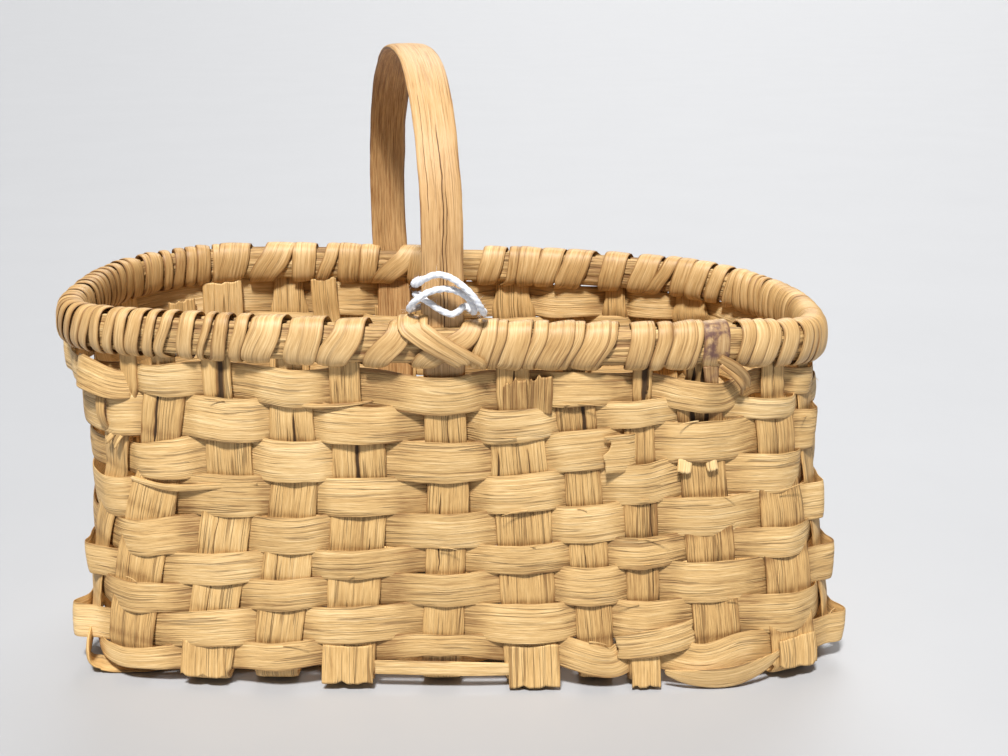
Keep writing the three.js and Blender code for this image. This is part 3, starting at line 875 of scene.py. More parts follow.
def sign(operation: str, swapped: bool = False) -> Callable[["Socket", "Operand"], "Socket"]:
    """Makes the method of a sign.

    Args:
        operation: What the sign's Math node does.
        swapped: Whether the other value comes first, as where a number stands before a socket.

    Returns:
        The method, which adds a Math node on the socket and the other value.
    """

    def method(self: "Socket", other: "Operand") -> "Socket":
        """One Math node on two values."""
        pair = (other, self) if swapped else (self, other)
        return self.tree.node("ShaderNodeMath", {"operation": operation}, dict(enumerate(pair)))

    return method


class Socket:
    """An output socket that takes part in arithmetic; each sign adds a Math node."""

    def __init__(self, tree: "Tree", output: bpy.types.NodeSocket) -> None:
        """Keeps the tree that the socket is in."""
        self.tree = tree
        self.output = output

    __add__, __radd__ = sign("ADD"), sign("ADD", True)
    __sub__, __rsub__ = sign("SUBTRACT"), sign("SUBTRACT", True)
    __mul__, __rmul__ = sign("MULTIPLY"), sign("MULTIPLY", True)

    def ramp(self, low: float, high: float) -> "Socket":
        """A smooth step from 0 at low to 1 at high."""
        settings = {"interpolation_type": "SMOOTHSTEP"}
        return self.tree.node("ShaderNodeMapRange", settings, {0: self, 1: low, 2: high})


Operand = Union[Socket, float]
Colour = tuple[float, float, float]


class Tree:
    """A material and its nodes."""

    OBJECT = 3
    MIXED = 2
    FACTOR = 2

    def __init__(self, name: str) -> None:
        """Starts an empty material."""
        self.material = bpy.data.materials.new(name)
        self.material.use_nodes = True
        self.nodes = self.material.node_tree.nodes
        self.nodes.clear()

    def node(
        self, kind: str, settings: Optional[dict] = None, inputs: Optional[dict] = None,
        out: int = 0,
    ) -> Socket:
        """Adds any node.

        Args:
            kind: The node's type.
            settings: Its own settings, which are set first.
            inputs: Values or sockets by input name or number.
            out: Number of the output to return.

        Returns:
            The chosen output.
        """
        made = self.nodes.new(kind)
        for key, value in (settings or {}).items():
            setattr(made, key, value)
        for key, value in (inputs or {}).items():
            if isinstance(value, Socket):
                self.material.node_tree.links.new(value.output, made.inputs[key])
            else:
                made.inputs[key].default_value = value
        return Socket(self, made.outputs[out] if made.outputs else None)

    def place(self) -> Socket:
        """Object coordinates, in metres."""
        return self.node("ShaderNodeTexCoord", out=self.OBJECT)

    def mix(self, factor: Operand, a: Union[Socket, Colour], b: Union[Socket, Colour]) -> Socket:
        """A blend of two colours."""
        first, second = ((*c, 1) if isinstance(c, tuple) else c for c in (a, b))
        inputs = {0: factor, 6: first, 7: second}
        return self.node("ShaderNodeMix", {"data_type": "RGBA"}, inputs, self.MIXED)

    def value(self, name: str) -> Socket:
        """A number kept on the mesh."""
        return self.node("ShaderNodeAttribute", {"attribute_name": name}, None, self.FACTOR)

    def vector(self, x: Operand, y: Operand, z: Operand) -> Socket:
        """A vector from three values."""
        return self.node("ShaderNodeCombineXYZ", None, {0: x, 1: y, 2: z})

    def texture(self, vector: Socket, scale: float, detail: float, rough: float) -> Socket:
        """Noise from 0 to 1."""
        inputs = {"Vector": vector, "Scale": scale, "Detail": detail, "Roughness": rough}
        return self.node("ShaderNodeTexNoise", {"noise_dimensions": "3D"}, inputs)

    def bump(self, height: Socket, distance: float, strength: float = 1.0) -> Socket:
        """A normal that stands up with a height."""
        inputs = {"Strength": strength, "Distance": distance, "Height": height}
        return self.node("ShaderNodeBump", None, inputs)

    def finish(self, colour: Socket, roughness: Operand, **shader: Socket) -> bpy.types.Material:
        """Joins a surface to the output and returns the material."""
        inputs = {"Base Color": colour, "Roughness": roughness, **shader}
        surface = self.node("ShaderNodeBsdfPrincipled", None, inputs)
        self.node("ShaderNodeOutputMaterial", None, {"Surface": surface})
        return self.material


class Grain(Enum):
    """Patterns along a splint: cells per cm along and across it, a shift, detail and roughness."""

    SWAY = (0.5, 0.6, 0.0, 2.0, 0.5)
    BAND = (0.14, 3.4, 0.0, 2.0, 0.5)
    STRAND = (0.2, 10.0, 0.0, 2.0, 0.6)
    FINE = (0.7, 27.0, 0.0, 3.0, 0.8)
    VEIN = (0.1, 5.5, 7.0, 1.0, 0.5)
    GATE = (0.45, 2.0, 3.0, 1.0, 0.5)

    def noise(self, tree: Tree, along: Socket, across: Socket, fibres: float = 1.0) -> Socket:
        """The pattern's noise from 0 to 1.

        Args:
            tree: The material.
            along: Centimetres along the splint.
            across: Centimetres across it.
            fibres: How much narrower its fibres are.

        Returns:
            The noise.
        """
        long, wide, shift, detail, rough = self.value
        vector = tree.vector(along * long, across * (wide * fibres), shift)
        return tree.texture(vector, 1.0, detail, rough)


@dataclass(frozen=True)
class SplintFinish:
    """Thin split wood with long fibres, kept as linear colours and pattern strengths."""

    SWAY = 0.05
    CREASE_WIDTH = 0.0005
    CREASE_GATE = (0.43, 0.56)
    PATCH = (34.0, 3.0, 0.55)
    BLOT = (300.0, 3.0, 0.6)
    BLOT_EDGE = (0.38, 0.62)
    LIGHT_RANGE = (0.35, 1.05)
    DARK_RANGE = (0.0, 0.7)
    CRACK_AND_SHADE_RANGE = (0.4, 1.0)
    CREASE_DARK = 0.7
    CRACK_AND_SHADE_DARK = 0.22
    STAIN = (0.12, 0.052, 0.045)

    name: str
    light: Colour
    body: Colour
    dark: Colour
    fibres: float = 1.0
    streaks: float = 0.5
    cracks: float = 0.5
    gloss: float = 0.62
    depth: float = 0.0005

    def _darker(self, share: float) -> Colour:
        """The dark colour at a share of its strength."""
        return tuple(c * share for c in self.dark)

    def material(self) -> bpy.types.Material:
        """Builds the nodes: fibres and cracks along the splint, and slow patches of age.

        The level sums the noises about their middle; it blends the body towards the light colour
        above a half and towards the dark one below. A crease lies where the vein crosses a half.

        Returns:
            The finished material.
        """
        tree = Tree(self.name)
        uv = tree.node("ShaderNodeUVMap", {"uv_map": "fibre"})
        along, across = (tree.node("ShaderNodeSeparateXYZ", None, {0: uv}, k) for k in (0, 1))
        place, tone, stain = tree.place(), tree.value("tone"), tree.value("stain")
        across = across + (Grain.SWAY.noise(tree, along, across) - 0.5) * self.SWAY
        band, gate = (grain.noise(tree, along, across) for grain in (Grain.BAND, Grain.GATE))
        strand, fine, vein = (
            grain.noise(tree, along, across, self.fibres)
            for grain in (Grain.STRAND, Grain.FINE, Grain.VEIN)
        )
        patch, blot = (tree.texture(place, *pattern) for pattern in (self.PATCH, self.BLOT))
        off = vein - 0.5
        crease = 1.0 - (off * off).ramp(0.0, self.CREASE_WIDTH)
        crease = crease * gate.ramp(*self.CREASE_GATE) * self.cracks
        level = (fine - 0.5) * 2.0 + (strand - 0.5) * (1.5 * self.streaks)
        # The mesh's tone carries painted light and painted shade as well as random tone.
        level = 0.5 + level + (band - 0.5) * self.streaks + (patch - 0.5) * 0.7 + tone
        wood = tree.mix(level.ramp(*self.LIGHT_RANGE), self.body, self.light)
        wood = tree.mix((0.5 - level).ramp(*self.DARK_RANGE), wood, self.dark)
        wood = tree.mix(crease * 0.7, wood, self._darker(self.CREASE_DARK))
        # Nearly black where the tone is well below nothing: in the split grooves, along the edges,
        # at the row lines and where rows dip; mostly painted shade, with some dirt at the edges.
        wood = tree.mix((0 - tone).ramp(*self.CRACK_AND_SHADE_RANGE), wood, self._darker(self.CRACK_AND_SHADE_DARK))
        wood = tree.mix(stain * (0.3 + blot.ramp(*self.BLOT_EDGE) * 0.65), wood, self.STAIN)
        height = fine * 0.6 + strand * 0.35 + band * 0.2 - crease * 0.8
        roughness = self.gloss + (fine - 0.5) * 0.35 - tone * 0.1
        return tree.finish(wood, roughness, Normal=tree.bump(height, self.depth))


@dataclass(frozen=True)
class CottonFinish:
    """Soft white cotton."""

    FLUFF = (2600.0, 3.0, 0.6)
    RANGE = (0.3, 0.8)

    name: str
    light: Colour
    # The bluish colour towards which the string darkens: painted shade.
    shade: Colour
    roughness: float = 0.95
    depth: float = 0.0002

    def material(self) -> bpy.types.Material:
        """Builds the nodes: fine fluff along the string, and painted shade in its hollows, towards
        the bluish shade colour.

        Returns:
            The finished material.
        """
        tree = Tree(self.name)
        fluff = tree.texture(tree.place(), *self.FLUFF)
        colour = tree.mix((fluff + tree.value("tone")).ramp(*self.RANGE), self.shade, self.light)
        return tree.finish(colour, self.roughness, Normal=tree.bump(fluff, self.depth, 0.7))


@dataclass(frozen=True)
class FloorFinish:
    """A plain pale floor with faint, slow patches."""

    PATCHES = (9.0, 4.0, 0.6)

    low: Colour = (0.40, 0.41, 0.43)
    high: Colour = (0.43, 0.44, 0.46)
    roughness: float = 0.55

    def material(self) -> bpy.types.Material:
        """Builds the nodes and returns the finished material."""
        tree = Tree("floor")
        speck = tree.texture(tree.place(), *self.PATCHES)
        return tree.finish(tree.mix(speck, self.low, self.high), self.roughness)


STAKE_FINISH = SplintFinish(
    "stake_splint", (0.9, 0.63, 0.3), (0.66, 0.41, 0.155), (0.28, 0.135, 0.038), streaks=0.45,
    cracks=0.85,
)
WEAVER_FINISH = SplintFinish(
    "weaver_splint", (0.93, 0.68, 0.35), (0.66, 0.42, 0.165), (0.27, 0.13, 0.038), fibres=0.95,
    streaks=0.5, cracks=0.75,
)
RIM_FINISH = SplintFinish(
    "rim_splint", (0.82, 0.59, 0.29), (0.6, 0.38, 0.15), (0.25, 0.12, 0.038), fibres=0.7,
    streaks=0.8, gloss=0.6, cracks=1.0,
)
LASHING_FINISH = SplintFinish(
    "lashing_splint", (0.8, 0.555, 0.27), (0.55, 0.335, 0.13), (0.26, 0.125, 0.036), fibres=0.6,
    streaks=0.3, gloss=0.5, cracks=0.45, depth=0.00022,
)
HANDLE_FINISH = SplintFinish(
    "handle_splint", (0.74, 0.5, 0.275), (0.6, 0.36, 0.15), (0.25, 0.105, 0.028), streaks=0.3,
    cracks=0.4, gloss=0.5, depth=0.0003,
)
STRING_FINISH = CottonFinish("cotton_string", (0.92, 0.93, 0.95), (0.7, 0.73, 0.8))


# Sub-assemblies

# Splits of the front's cross stakes, by number
STAKE_SPLITS = {
    0: (Split(-0.3, 76, 97, 1.3), Split(-0.45, 30, 52, 0.2)),
    1: (Split(0.25, 86, 116, 3.2), Split(-0.3, 20, 60, 0.2)),
    2: (Split(0.1, 68, 92, 1.1), Split(-0.4, 30, 55, 0.2)),
    3: (Split(-0.05, 58, 84, 1.7), Split(0.45, 36, 52, 0.3), Split(-0.2, 8, 30, 0.2)),
    4: (Split(-0.35, 38, 66, 0.4), Split(0.15, 70, 92, 0.2)),
    5: (Split(0.1, 80, 106, 0.9), Split(-0.75, 56, 80, 0.7), Split(0.35, 56, 80, 0.2)),
    6: (Split(0.35, 72, 103, 1.5), Split(-0.2, 30, 50, 0.2)),
    7: (Split(0.15, 91, 116, 2.4), Split(0.6, 30, 70, 0.3)),
    8: (Split(-0.4, 78, 105, 1.8), Split(0.2, 78, 105, 1.6), Split(0.3, 30, 48, 0.3)),
    9: (Split(0.0, 60, 104, 0.3), Split(-0.5, 20, 40, 0.2)),
}
# Doubled feet and tops of the cross stakes, by number
STAKE_LAPS = {
    0: (
        Loose(((-86, 108, -3.0, 14.0), (-86, 100, -3.2, 14.4), (-86, 92, -2.2, 14.4),
               (-86.4, 84, -1.7, 14), (-86.4, 78, -1.3, 13.6)), 94, Side.BACK, (1.6, 0.5), 0.1),
        Loose(((-100.6, 102, -2.8, 9.6), (-100.6, 96, -3.0, 10.2), (-100.8, 88, -1.9, 10),
               (-101, 82, -1.3, 9.5)), 96, Side.BACK, (1.6, 0.5), -0.15),
    ),
    1: (Loose(((-75.4, 15.6, 0.9, 13.4), (-75.8, 9, 1.2, 14), (-76, 3.2, 1.3, 14.2)), 61),),
    2: (
        Loose(((-48.4, 108, -3.0, 9.4), (-48.2, 100, -3.2, 9.8), (-47.4, 92, -2.2, 9.8),
               (-46.4, 84, -1.7, 9.8), (-45.8, 78, -1.3, 9.6)), 95, Side.BACK, (1.2, 0.5), 0.05),
    ),
    3: (Loose(((-30.2, 15.4, 0.9, 15), (-30.4, 9, 1.2, 15.6), (-30.5, 1.8, 1.4, 16)), 62),),
    5: (
        Loose(((28.0, 15.4, 0.9, 15.6), (28.2, 8, 1.3, 16), (28.4, 0.5, 1.7, 16)), 63),
        Loose(((22.1, 102.2, 1.9, 6.6), (22.0, 98, 1.6, 7.2), (22.2, 90, 0.9, 7.4)), 66,
              ragged=(3.4, 0.5), tone=-0.3),
        Loose(((29.8, 103.0, 2.0, 6.6), (29.7, 98, 1.7, 7.2), (29.4, 90, 0.9, 7.4)), 67,
              ragged=(3.0, 0.5), tone=-0.3),
    ),
    7: (Loose(((62.9, 14.6, 0.9, 9.2), (63.2, 8, 1.3, 9.2), (63.5, 0.5, 1.6, 9.4)), 64),),
    9: (Loose(((111.4, 14.2, 1.0, 14.6), (111.8, 9, 1.6, 15), (111.8, 3.6, 1.8, 14.6)), 65),),
}
# Torn splinters at the left front corner
CORNER_SPLINTERS = (
    Loose(((-104.6, 94.5, 1.6, 3.4), (-104.3, 90, 3.2, 3.8), (-104.0, 85, 3.4, 3.6),
           (-103.4, 80.5, 1.6, 3.0)), 91, ragged=(2.5, 1.0), tone=-0.1),
    Loose(((-100.2, 81.5, 1.2, 1.4), (-101.8, 79.3, 2.4, 1.8), (-103.6, 76.6, 3.0, 1.4)), 92,
          ragged=(0.4, 1.2), tone=0.2),
    Loose(((-98.0, 81.5, 1.2, 1.5), (-99.4, 79.0, 2.6, 2.0), (-100.8, 75.6, 3.2, 1.6)), 93,
          ragged=(0.4, 1.4), tone=0.2),
)
# How far a standing end leans along the wall under the rim, and how broad it is low down
LEANING = {1: -2.4, 3: -3.0, 7: 1.0, CORNER: 3.2}
BROAD = {0: 1.28, 1: 1.15, 2: 1.13, FRONT_LEG: 1.0, 9: 1.2, CORNER: 1.0}


@dataclass
class Stakes:
    """The cross stakes and long stakes, from rim to rim under the base.

    A `span` is where a smooth step starts and how far it goes: down the wall from a height, but
    for the back's trim up from a distance below the wall's top.
    """

    thickness: float = Wall.STAKE_THICKNESS
    step: float = 0.75
    rise: float = 3.0
    swing: float = 0.3
    swing_half: float = 4.2
    leg_share: float = 0.3
    tuck: float = 2.0
    tuck_span: tuple[float, float] = (13.0, 7.0)
    trimmed: float = 0.62
    trim_margin: float = 1.5
    back_trim: float = 0.6
    back_trim_span: tuple[float, float] = (3.0, 8.0)
    broad_top: float = 1.04
    broad_foot: float = 1.08
    broad_span: tuple[float, float] = (76.0, 20.0)
    uneven: float = 0.035
    uneven_length: float = 16.0
    foot_shift: tuple[float, float, float] = (0.6, -13.0, 0.0)
    foot_span: tuple[float, float] = (14.0, 11.0)
    base_swing: float = 1.45
    base_soft: float = 1.6
    base_points: int = 100
    # Painted shade along each row line: how dark it is, and how far it reaches.
    shade: float = 0.3
    shade_half: float = 1.3
    drift: float = 0.12
    drift_length: float = 40.0
    darker: float = 0.1
    base_height: float = -5.0
    back_below: float = 500.0

    def _depth(self, z: Array, x: Array, place: int, leg: bool) -> Array:
        """How far outside the wall's middle an end stands.

        It swings in behind each row that passes outside and out before the others, by a bell
        round the row's middle, and is tucked in behind a last row outside it.

        Args:
            z: Heights.
            x: Places along the basket.
            place: The end's number round the wall.
            leg: Whether a leg of the handle takes its place higher up.

        Returns:
            Distances outwards.
        """
        depth = np.zeros(len(z))
        for row in range(1, len(Wall.ROWS) + 1):
            way = 1 if (row + place) % 2 == 1 else -1
            depth -= self.swing * bell((z - WALL.row_middle(row, x)) / self.swing_half) * way
        if leg:
            depth *= self.leg_share
        if (len(Wall.ROWS) + place) % 2 == 1:
            depth -= self.tuck * below(z, *self.tuck_span)
        return depth

    def _trim(self, z: Array, x: Array, place: int) -> Array:
        """How far an end is trimmed, from 0 to 1: behind its top row, or just under the rim.

        Args:
            z: Heights.
            x: Places along the basket.
            place: The end's number round the wall.

        Returns:
            Shares of the whole trim.
        """
        if STAKES[place].side is not Side.FRONT and place != CORNER:
            start, way = self.back_trim_span
            return self.back_trim * above(z, WALL.height - start, way)
        cover = 2 if place % 2 == 1 else 1
        low, high = (WALL.line(line, x) for line in (cover, cover - 1))
        return above(z, low + self.trim_margin, high - low - 2 * self.trim_margin)

    def standing(self, stake: Stake) -> tuple[Array, Array, Array]:
        """Path of one standing end from its top down to the end of its fold, a quarter circle.

        Args:
            stake: The standing end.

        Returns:
            Points, outward directions and widths.
        """
        z = np.arange(self.top_of(stake), Wall.FOLD_TOP, -self.step)
        share = stake.share(z)
        x = WALL.place(share, z)[:, 0]
        place = STAKES.index(stake)
        depth, trim = self._depth(z, x, place, stake.leg), self._trim(z, x, place)
        foot = lerp(self.broad_top, BROAD.get(place, self.broad_foot), below(z, *self.broad_span))
        width = stake.width * lerp(foot, self.trimmed, trim)
        width *= 1 + self.uneven * wobble(z / self.uneven_length, place * 1.7)
        if stake.leg:
            width = np.full(len(z), stake.width)
        share = share + LEANING.get(place, 0.0) * trim / WALL.rim_length
        normal = WALL.normal(share, z)
        points = WALL.place(share, z, depth)
        if place == CORNER:
            points += np.array(self.foot_shift) * below(z, *self.foot_span)[:, None]
        angle = np.linspace(0, np.pi / 2, 9)[1:, None]
        low, way, radius = points[-1], normal[-1], Wall.FOLD_RADIUS
        fold = low + way * radius * (np.cos(angle) - 1) + DOWN * radius * np.sin(angle)
        fold[:, 2] += Wall.FOLD_TOP - low[2]
        turned = way * np.cos(angle) + DOWN * np.sin(angle)
        widths = np.concatenate([width, np.full(len(fold), stake.width)])
        return np.concatenate([points, fold]), np.concatenate([normal, turned]), widths

    def top_of(self, stake: Stake) -> float:
        """Height of a standing end's top: between the rim strips, or behind a row under a leg."""
        x = stake.x(WALL.height)
        if stake.leg:
            return float(WALL.row_middle(1, x))
        return float(WALL.rim_level(x)) + self.rise

    def strip(self, first: Stake, last: Stake, level: Array, seed: float) -> MeshData:
        """One whole stake: down one side, along the base and up the other side.

        Args:
            first: Its standing end on the front or the left.
            last: Its standing end on the back or the right.
            level: Heights of its way along the base, at even steps.
            seed: Picks its own fibres.

        Returns:
            The stake's arrays.
        """
        one, way_one, width_one = self.standing(first)
        two, way_two, width_two = self.standing(last)
        part = np.linspace(0, 1, len(level) + 2)[1:-1, None]
        base = lerp(one[-1], two[-1], part)
        base[:, 2] = level
        centre = np.concatenate([one, base, two[::-1]])
        under = np.full(len(base), self.base_height)
        heights = np.concatenate([one[:, 2], under, two[::-1, 2] - self.back_below])
        tone = self.drift * wobble(np.arange(len(centre)) / self.drift_length, seed)
        tone -= self.darker * (1 + np.sin(seed * 5))
        # Painted shade: the stake darkens along each line between rows, where the rows' edges shade
        # it.
        for row in range(1, len(Wall.ROWS)):
            off = centre[:, 2] - WALL.line(row, centre[:, 0])
            tone -= self.shade * bell(off / self.shade_half)
        return Strip(
            centre, np.concatenate([way_one, np.tile(DOWN, (len(base), 1)), way_two[::-1]]),
            np.concatenate([width_one, np.full(len(base), first.width), width_two[::-1]]),
            self.thickness, seed, cup=0.12, ragged=(2.5, 2.5), tone=tone, heights=heights,
            splits=STAKE_SPLITS[first.index] if first.side is Side.FRONT else (),
            # Painted light: the inner face is lighter, for the light inside the basket.
            relief=0.06, wander=0.35, inner_light_and_shade=0.14,
        ).data()

    def cross(self, index: int) -> MeshData:
        """A cross stake, straight under the base."""
        first, last = stake_at(Side.FRONT, index), stake_at(Side.BACK, index)
        level = np.full(self.base_points, Wall.FLOOR_LEVEL)
        return self.strip(first, last, level, 1.37 * index + 2)

    def long(self, index: int) -> MeshData:
        """A long stake, under and over the cross stakes.

        Its height follows a line through the edges of each cross stake, softened to a wave.

        Args:
            index: The stake's number from the front.

        Returns:
            The stake's arrays.
        """
        first, last = stake_at(Side.LEFT, index), stake_at(Side.RIGHT, index)
        ends = [self.standing(stake)[0][-1, 0] for stake in (first, last)]
        places, levels = [ends[0]], [Wall.FLOOR_LEVEL]
        for i, (base, _, _, _, width) in enumerate(CROSS_STAKES):
            middle = float(WALL.measures(0.0)[2]) + base * Wall.LENGTH / 2
            swing = -self.base_swing if (i + index) % 2 == 0 else self.base_swing
            places += [middle - width / 2, middle + width / 2]
            levels += [Wall.FLOOR_LEVEL + swing] * 2
        x = np.linspace(*ends, 260)[1:-1]
        level = np.interp(x, places + [ends[1]], levels + [Wall.FLOOR_LEVEL])
        return self.strip(first, last, softened(level, self.base_soft), 1.71 * index + 31)

    def build(self) -> None:
        """Makes every stake a piece of its own."""
        material = STAKE_FINISH.material()
        for kind, stakes, shape, loose in (
            ("cross", CROSS_STAKES, self.cross, STAKE_LAPS),
            ("long", LONG_STAKES, self.long, {0: CORNER_SPLINTERS}),
        ):
            for index in range(len(stakes)):
                name = f"{kind}_stake_{index + 1}"
                parts = [shape(index), *(piece.data() for piece in loose.get(index, ()))]
                make_piece(f"{name}_splint", parts, material, Slot.STAKE, name)


@dataclass(frozen=True)
class Nudge:
    """A change to a row where it crosses one stake: its lift, extra width, bulge and tilt."""

    lift: float = 0.0
    wider: float = 0.0
    bulge: float = 0.0
    tilt: float = 0.0


# Changes to the rows, by row number and the stake's number round the wall
NUDGES = {
    (1, 4): Nudge(lift=-1.2, wider=-0.5),
    (1, 8): Nudge(lift=-3.4, wider=1.0, bulge=1.6, tilt=-1.2),
    (1, 26): Nudge(bulge=3.2),
    (2, 9): Nudge(lift=-1.2, wider=-0.5),
    (3, 8): Nudge(lift=-1.1, wider=-1.0),
    (3, 10): Nudge(bulge=1.6),
    (5, 10): Nudge(bulge=2.4),
    (6, 27): Nudge(bulge=2.6),
    (7, 10): Nudge(bulge=3.0),
    (8, 27): Nudge(bulge=6.4, lift=-1.0),
    (9, 4): Nudge(lift=1.8, wider=-2.5),
    (9, 6): Nudge(lift=-2.2, tilt=-1.3),
    (9, 8): Nudge(lift=-0.6, tilt=2.0, wider=-0.5),
    (9, 10): Nudge(bulge=5.0),
}
# Sprung and lapped ends of the rows, by row number
ROW_ENDS = {
    1: (
        Loose(((-114.5, 97.5, 1.0, 8), (-111.5, 98.6, 2.8, 10.4), (-106, 98.2, 3.8, 10.4),
               (-101, 97.0, 3.4, 9.6), (-97.4, 96.2, 1.6, 8.6), (-95.4, 96, -0.6, 8)), 79,
              ragged=(1, 1), roll=-0.25, tone=-0.05),
    ),
    2: (
        Loose(((-48, 93.2, 0.9, 0.9), (-36, 92.8, 1.7, 1.5), (-27, 93.4, 1.7, 1.3),
               (-20, 94.4, 0.9, 0.7)), 77, ragged=(2, 3), tone=-0.1),
    ),
    3: (
        Loose(((47.4, 77.4, 3.0, 11.5), (51.5, 77.6, 2.5, 12), (56.5, 77.6, 1.4, 12),
               (59.5, 77.6, -0.4, 11.5)), 71, ragged=(4.5, 0.5), tone=0.05),
        Loose(((73.8, 75, 0.9, 4.6), (73.6, 73, 1.5, 4.8), (73.2, 70.6, 2.2, 4.6)), 72,
              ragged=(0.2, 0.5), tone=0.2),
        Loose(((82.1, 75, 0.9, 3.4), (82, 73, 1.5, 3.7), (82.4, 70.8, 2.2, 3.6)), 73,
              ragged=(0.2, 0.5), tone=0.2),
    ),
    4: (
        Loose(((-97, 66.2, 1.4, 1.6), (-84, 65.2, 2.0, 2.4), (-70, 66.6, 2.2, 2.6),
               (-56, 67.6, 1.0, 1.4)), 78, ragged=(2, 3), tone=0.08),
    ),
    8: (
        Loose(((53.4, 14.6, 1.5, 7.6), (58, 15.2, 2.5, 8.6), (66, 16.6, 2.9, 9.2),
               (73, 18.0, 2.4, 9.4), (78.4, 18.8, 0.2, 9)), 74, ragged=(1.4, 1)),
    ),
    9: (
        Loose(((-22, 7.6, 0.2, 4.4), (-10, 7.7, 0.9, 4.6), (0, 7.6, 1.3, 4.8),
               (11, 7.3, 1.0, 4.6), (22, 7.0, 0.2, 4.2)), 75, ragged=(0.3, 0.3), tone=0.16),
        Loose(((69, 6.0, 1.0, 2.0), (77, 4.7, 2.7, 6.0), (88, 4.7, 3.5, 8.2),
               (98, 6.8, 2.8, 7.0), (107.5, 10.6, 0.9, 2.2)), 76, ragged=(1, 1), roll=0.3),
    ),
}


@dataclass
class Weavers:
    """The nine rows of thin splint woven round the wall.

    At the left front corner the rows sag and are slimmer; at the back the first one is broader
    and lies higher.
    """

    thickness: float = 0.75
    row_gap: float = -0.8
    clearance: float = 0.12
    leg_thickness: float = 1.2
    bulge: float = 0.95
    lift: float = 0.45
    tilt: float = math.radians(5)
    wider_outside: float = 0.45
    wider_inside: float = 0.3
    edge_share: float = 0.4
    depth_soft: float = 2.6
    soft: float = 5.0
    # Painted shade where a row passes behind a stake, and painted light on every inner face.
    shade: float = 0.24
    inner_light_and_shade: float = 0.14
    corner_sag: tuple[float, ...] = (1.4, 0.6, 3.0, 3.3, 3.6, 2.5, 2.2, 3.6, 2.2)
    corner_slimmer: tuple[float, ...] = (2.0, 0, 3.0, 0, 1.6, 0, 0.4, 0.8, 2.6)
    back_broader: float = 1.8
    back_lift: float = 1.2
    height_waver: tuple[float, float] = (0.25, 60.0)
    width_waver: tuple[float, float] = (0.3, 45.0)
    tone_waver: tuple[float, float] = (0.16, 9.0)
    corner_x: tuple[float, float] = (-68.0, 34.0)
    corner_y: tuple[float, float] = (30.0, 60.0)
    far_y: tuple[float, float] = (10.0, 40.0)
    shade_depth: tuple[float, float] = (0.9, 1.4)
    slivers: int = 7
    sliver_out: float = 2.6
    steps: int = 1300
    look: float = 50.0

    def depth(self, row: int, place: int, stake: Stake) -> float:
        """How far outside the wall's middle a row lies at a stake: outside one, inside the next.

        Args:
            row: Row number.
            place: The stake's number round the wall.
            stake: The stake.

        Returns:
            The distance outwards.
        """
        depth = (Wall.STAKE_THICKNESS + self.thickness) / 2 + self.clearance
        if (row + place) % 2 == 1:
            return depth
        hidden_leg = stake.leg and row <= LEG_END_ROW
        return -depth - (self.leg_thickness + Wall.FIT if hidden_leg else 0)

    def _marks(self, number: int) -> Array:
        """What a row does at both edges and the middle of each stake.

        Args:
            number: Row number.

        Returns:
            Five columns: share of the outline, depth, lift, extra width and tilt.
        """
        marks = []
        for place, stake in enumerate(STAKES):
            middle = float(WALL.row_middle(number, stake.x(self.look)))
            half = stake.width / 2 / float(WALL.length_at(middle))
            depth = self.depth(number, place, stake)
            nudge = NUDGES.get((number, place), Nudge())
            swollen, lifted, tilted = (
                hashed(number * 31 + place, row, seed) for row, seed in ((7, 1), (3, 2), (5, 4))
            )
            swell = self.bulge * (1 + 0.35 * swollen) + nudge.bulge
            swell, wider = (
                (swell, self.wider_outside) if depth > 0 else (swell * -0.6, self.wider_inside)
            )
            for side in (-1, 0, 1):
                bulges, share = (1, 1) if side == 0 else (0, self.edge_share)
                marks.append((
                    float(stake.share(middle)) + side * half, depth + swell * bulges,
                    self.lift * lifted + nudge.lift + side * nudge.tilt,
                    nudge.wider + wider * share, self.tilt * tilted,
                ))
        return np.array(marks)

    def row(self, number: int) -> MeshData:
        """One row as a closed hoop.

        At each stake the path passes its two edges and bulges between them; a bell curve softens
        the line through those places into the bend of a stiff splint.

        Args:
            number: Row number, 1 at the top.

        Returns:
            The row's arrays.
        """
        marks = self._marks(number)
        shares = np.concatenate([marks[:, 0], marks[:, 0] + 1])
        s = shares[3 * (FRONT_LEG + number % 2) + 1] + np.arange(self.steps) / self.steps
        out, lift, wider, tilt = (
            softened(np.interp(s, shares, np.tile(column, 2)), spread, True)
            for column, spread in zip(marks[:, 1:].T, (self.depth_soft, *[self.soft] * 3))
        )
        level = np.full(self.steps, self.look)
        for _ in range(3):
            x = WALL.place(s, level)[:, 0]
            level = WALL.row_middle(number, x)
        y = WALL.place(s, level)[:, 1]
        corner = below(x, *self.corner_x) * below(y, *self.corner_y)
        far = above(y, *self.far_y) * (number == 1)
        z = level + lift + waver(s, *self.height_waver, number)
        z -= self.corner_sag[number - 1] * corner
        width = WALL.line(number - 1, x) - WALL.line(number, x) - self.row_gap
        width += wider + waver(s, *self.width_waver, number + 0.5)
        width += self.back_broader * far - self.corner_slimmer[number - 1] * corner
        z += self.back_lift * far
        # Painted shade: the outer face darkens where the row dips inside behind a stake and the
        # inner face where it lies outside against one; painted light brightens every inner face.
        sunk, raised = (self.shade * below(way * out, *self.shade_depth) for way in (1, -1))
        return Strip(
            WALL.place(s, z, out), WALL.normal(s, z), width, self.thickness, number * 1.93,
            cup=0.26, roll=tilt, closed=True,
            tone=waver(s, *self.tone_waver, number * 2.1) - sunk,
            inner_light_and_shade=self.inner_light_and_shade + sunk - raised, columns=23, relief=0.07, wander=0.35,
            lip=0.16,
        ).data()

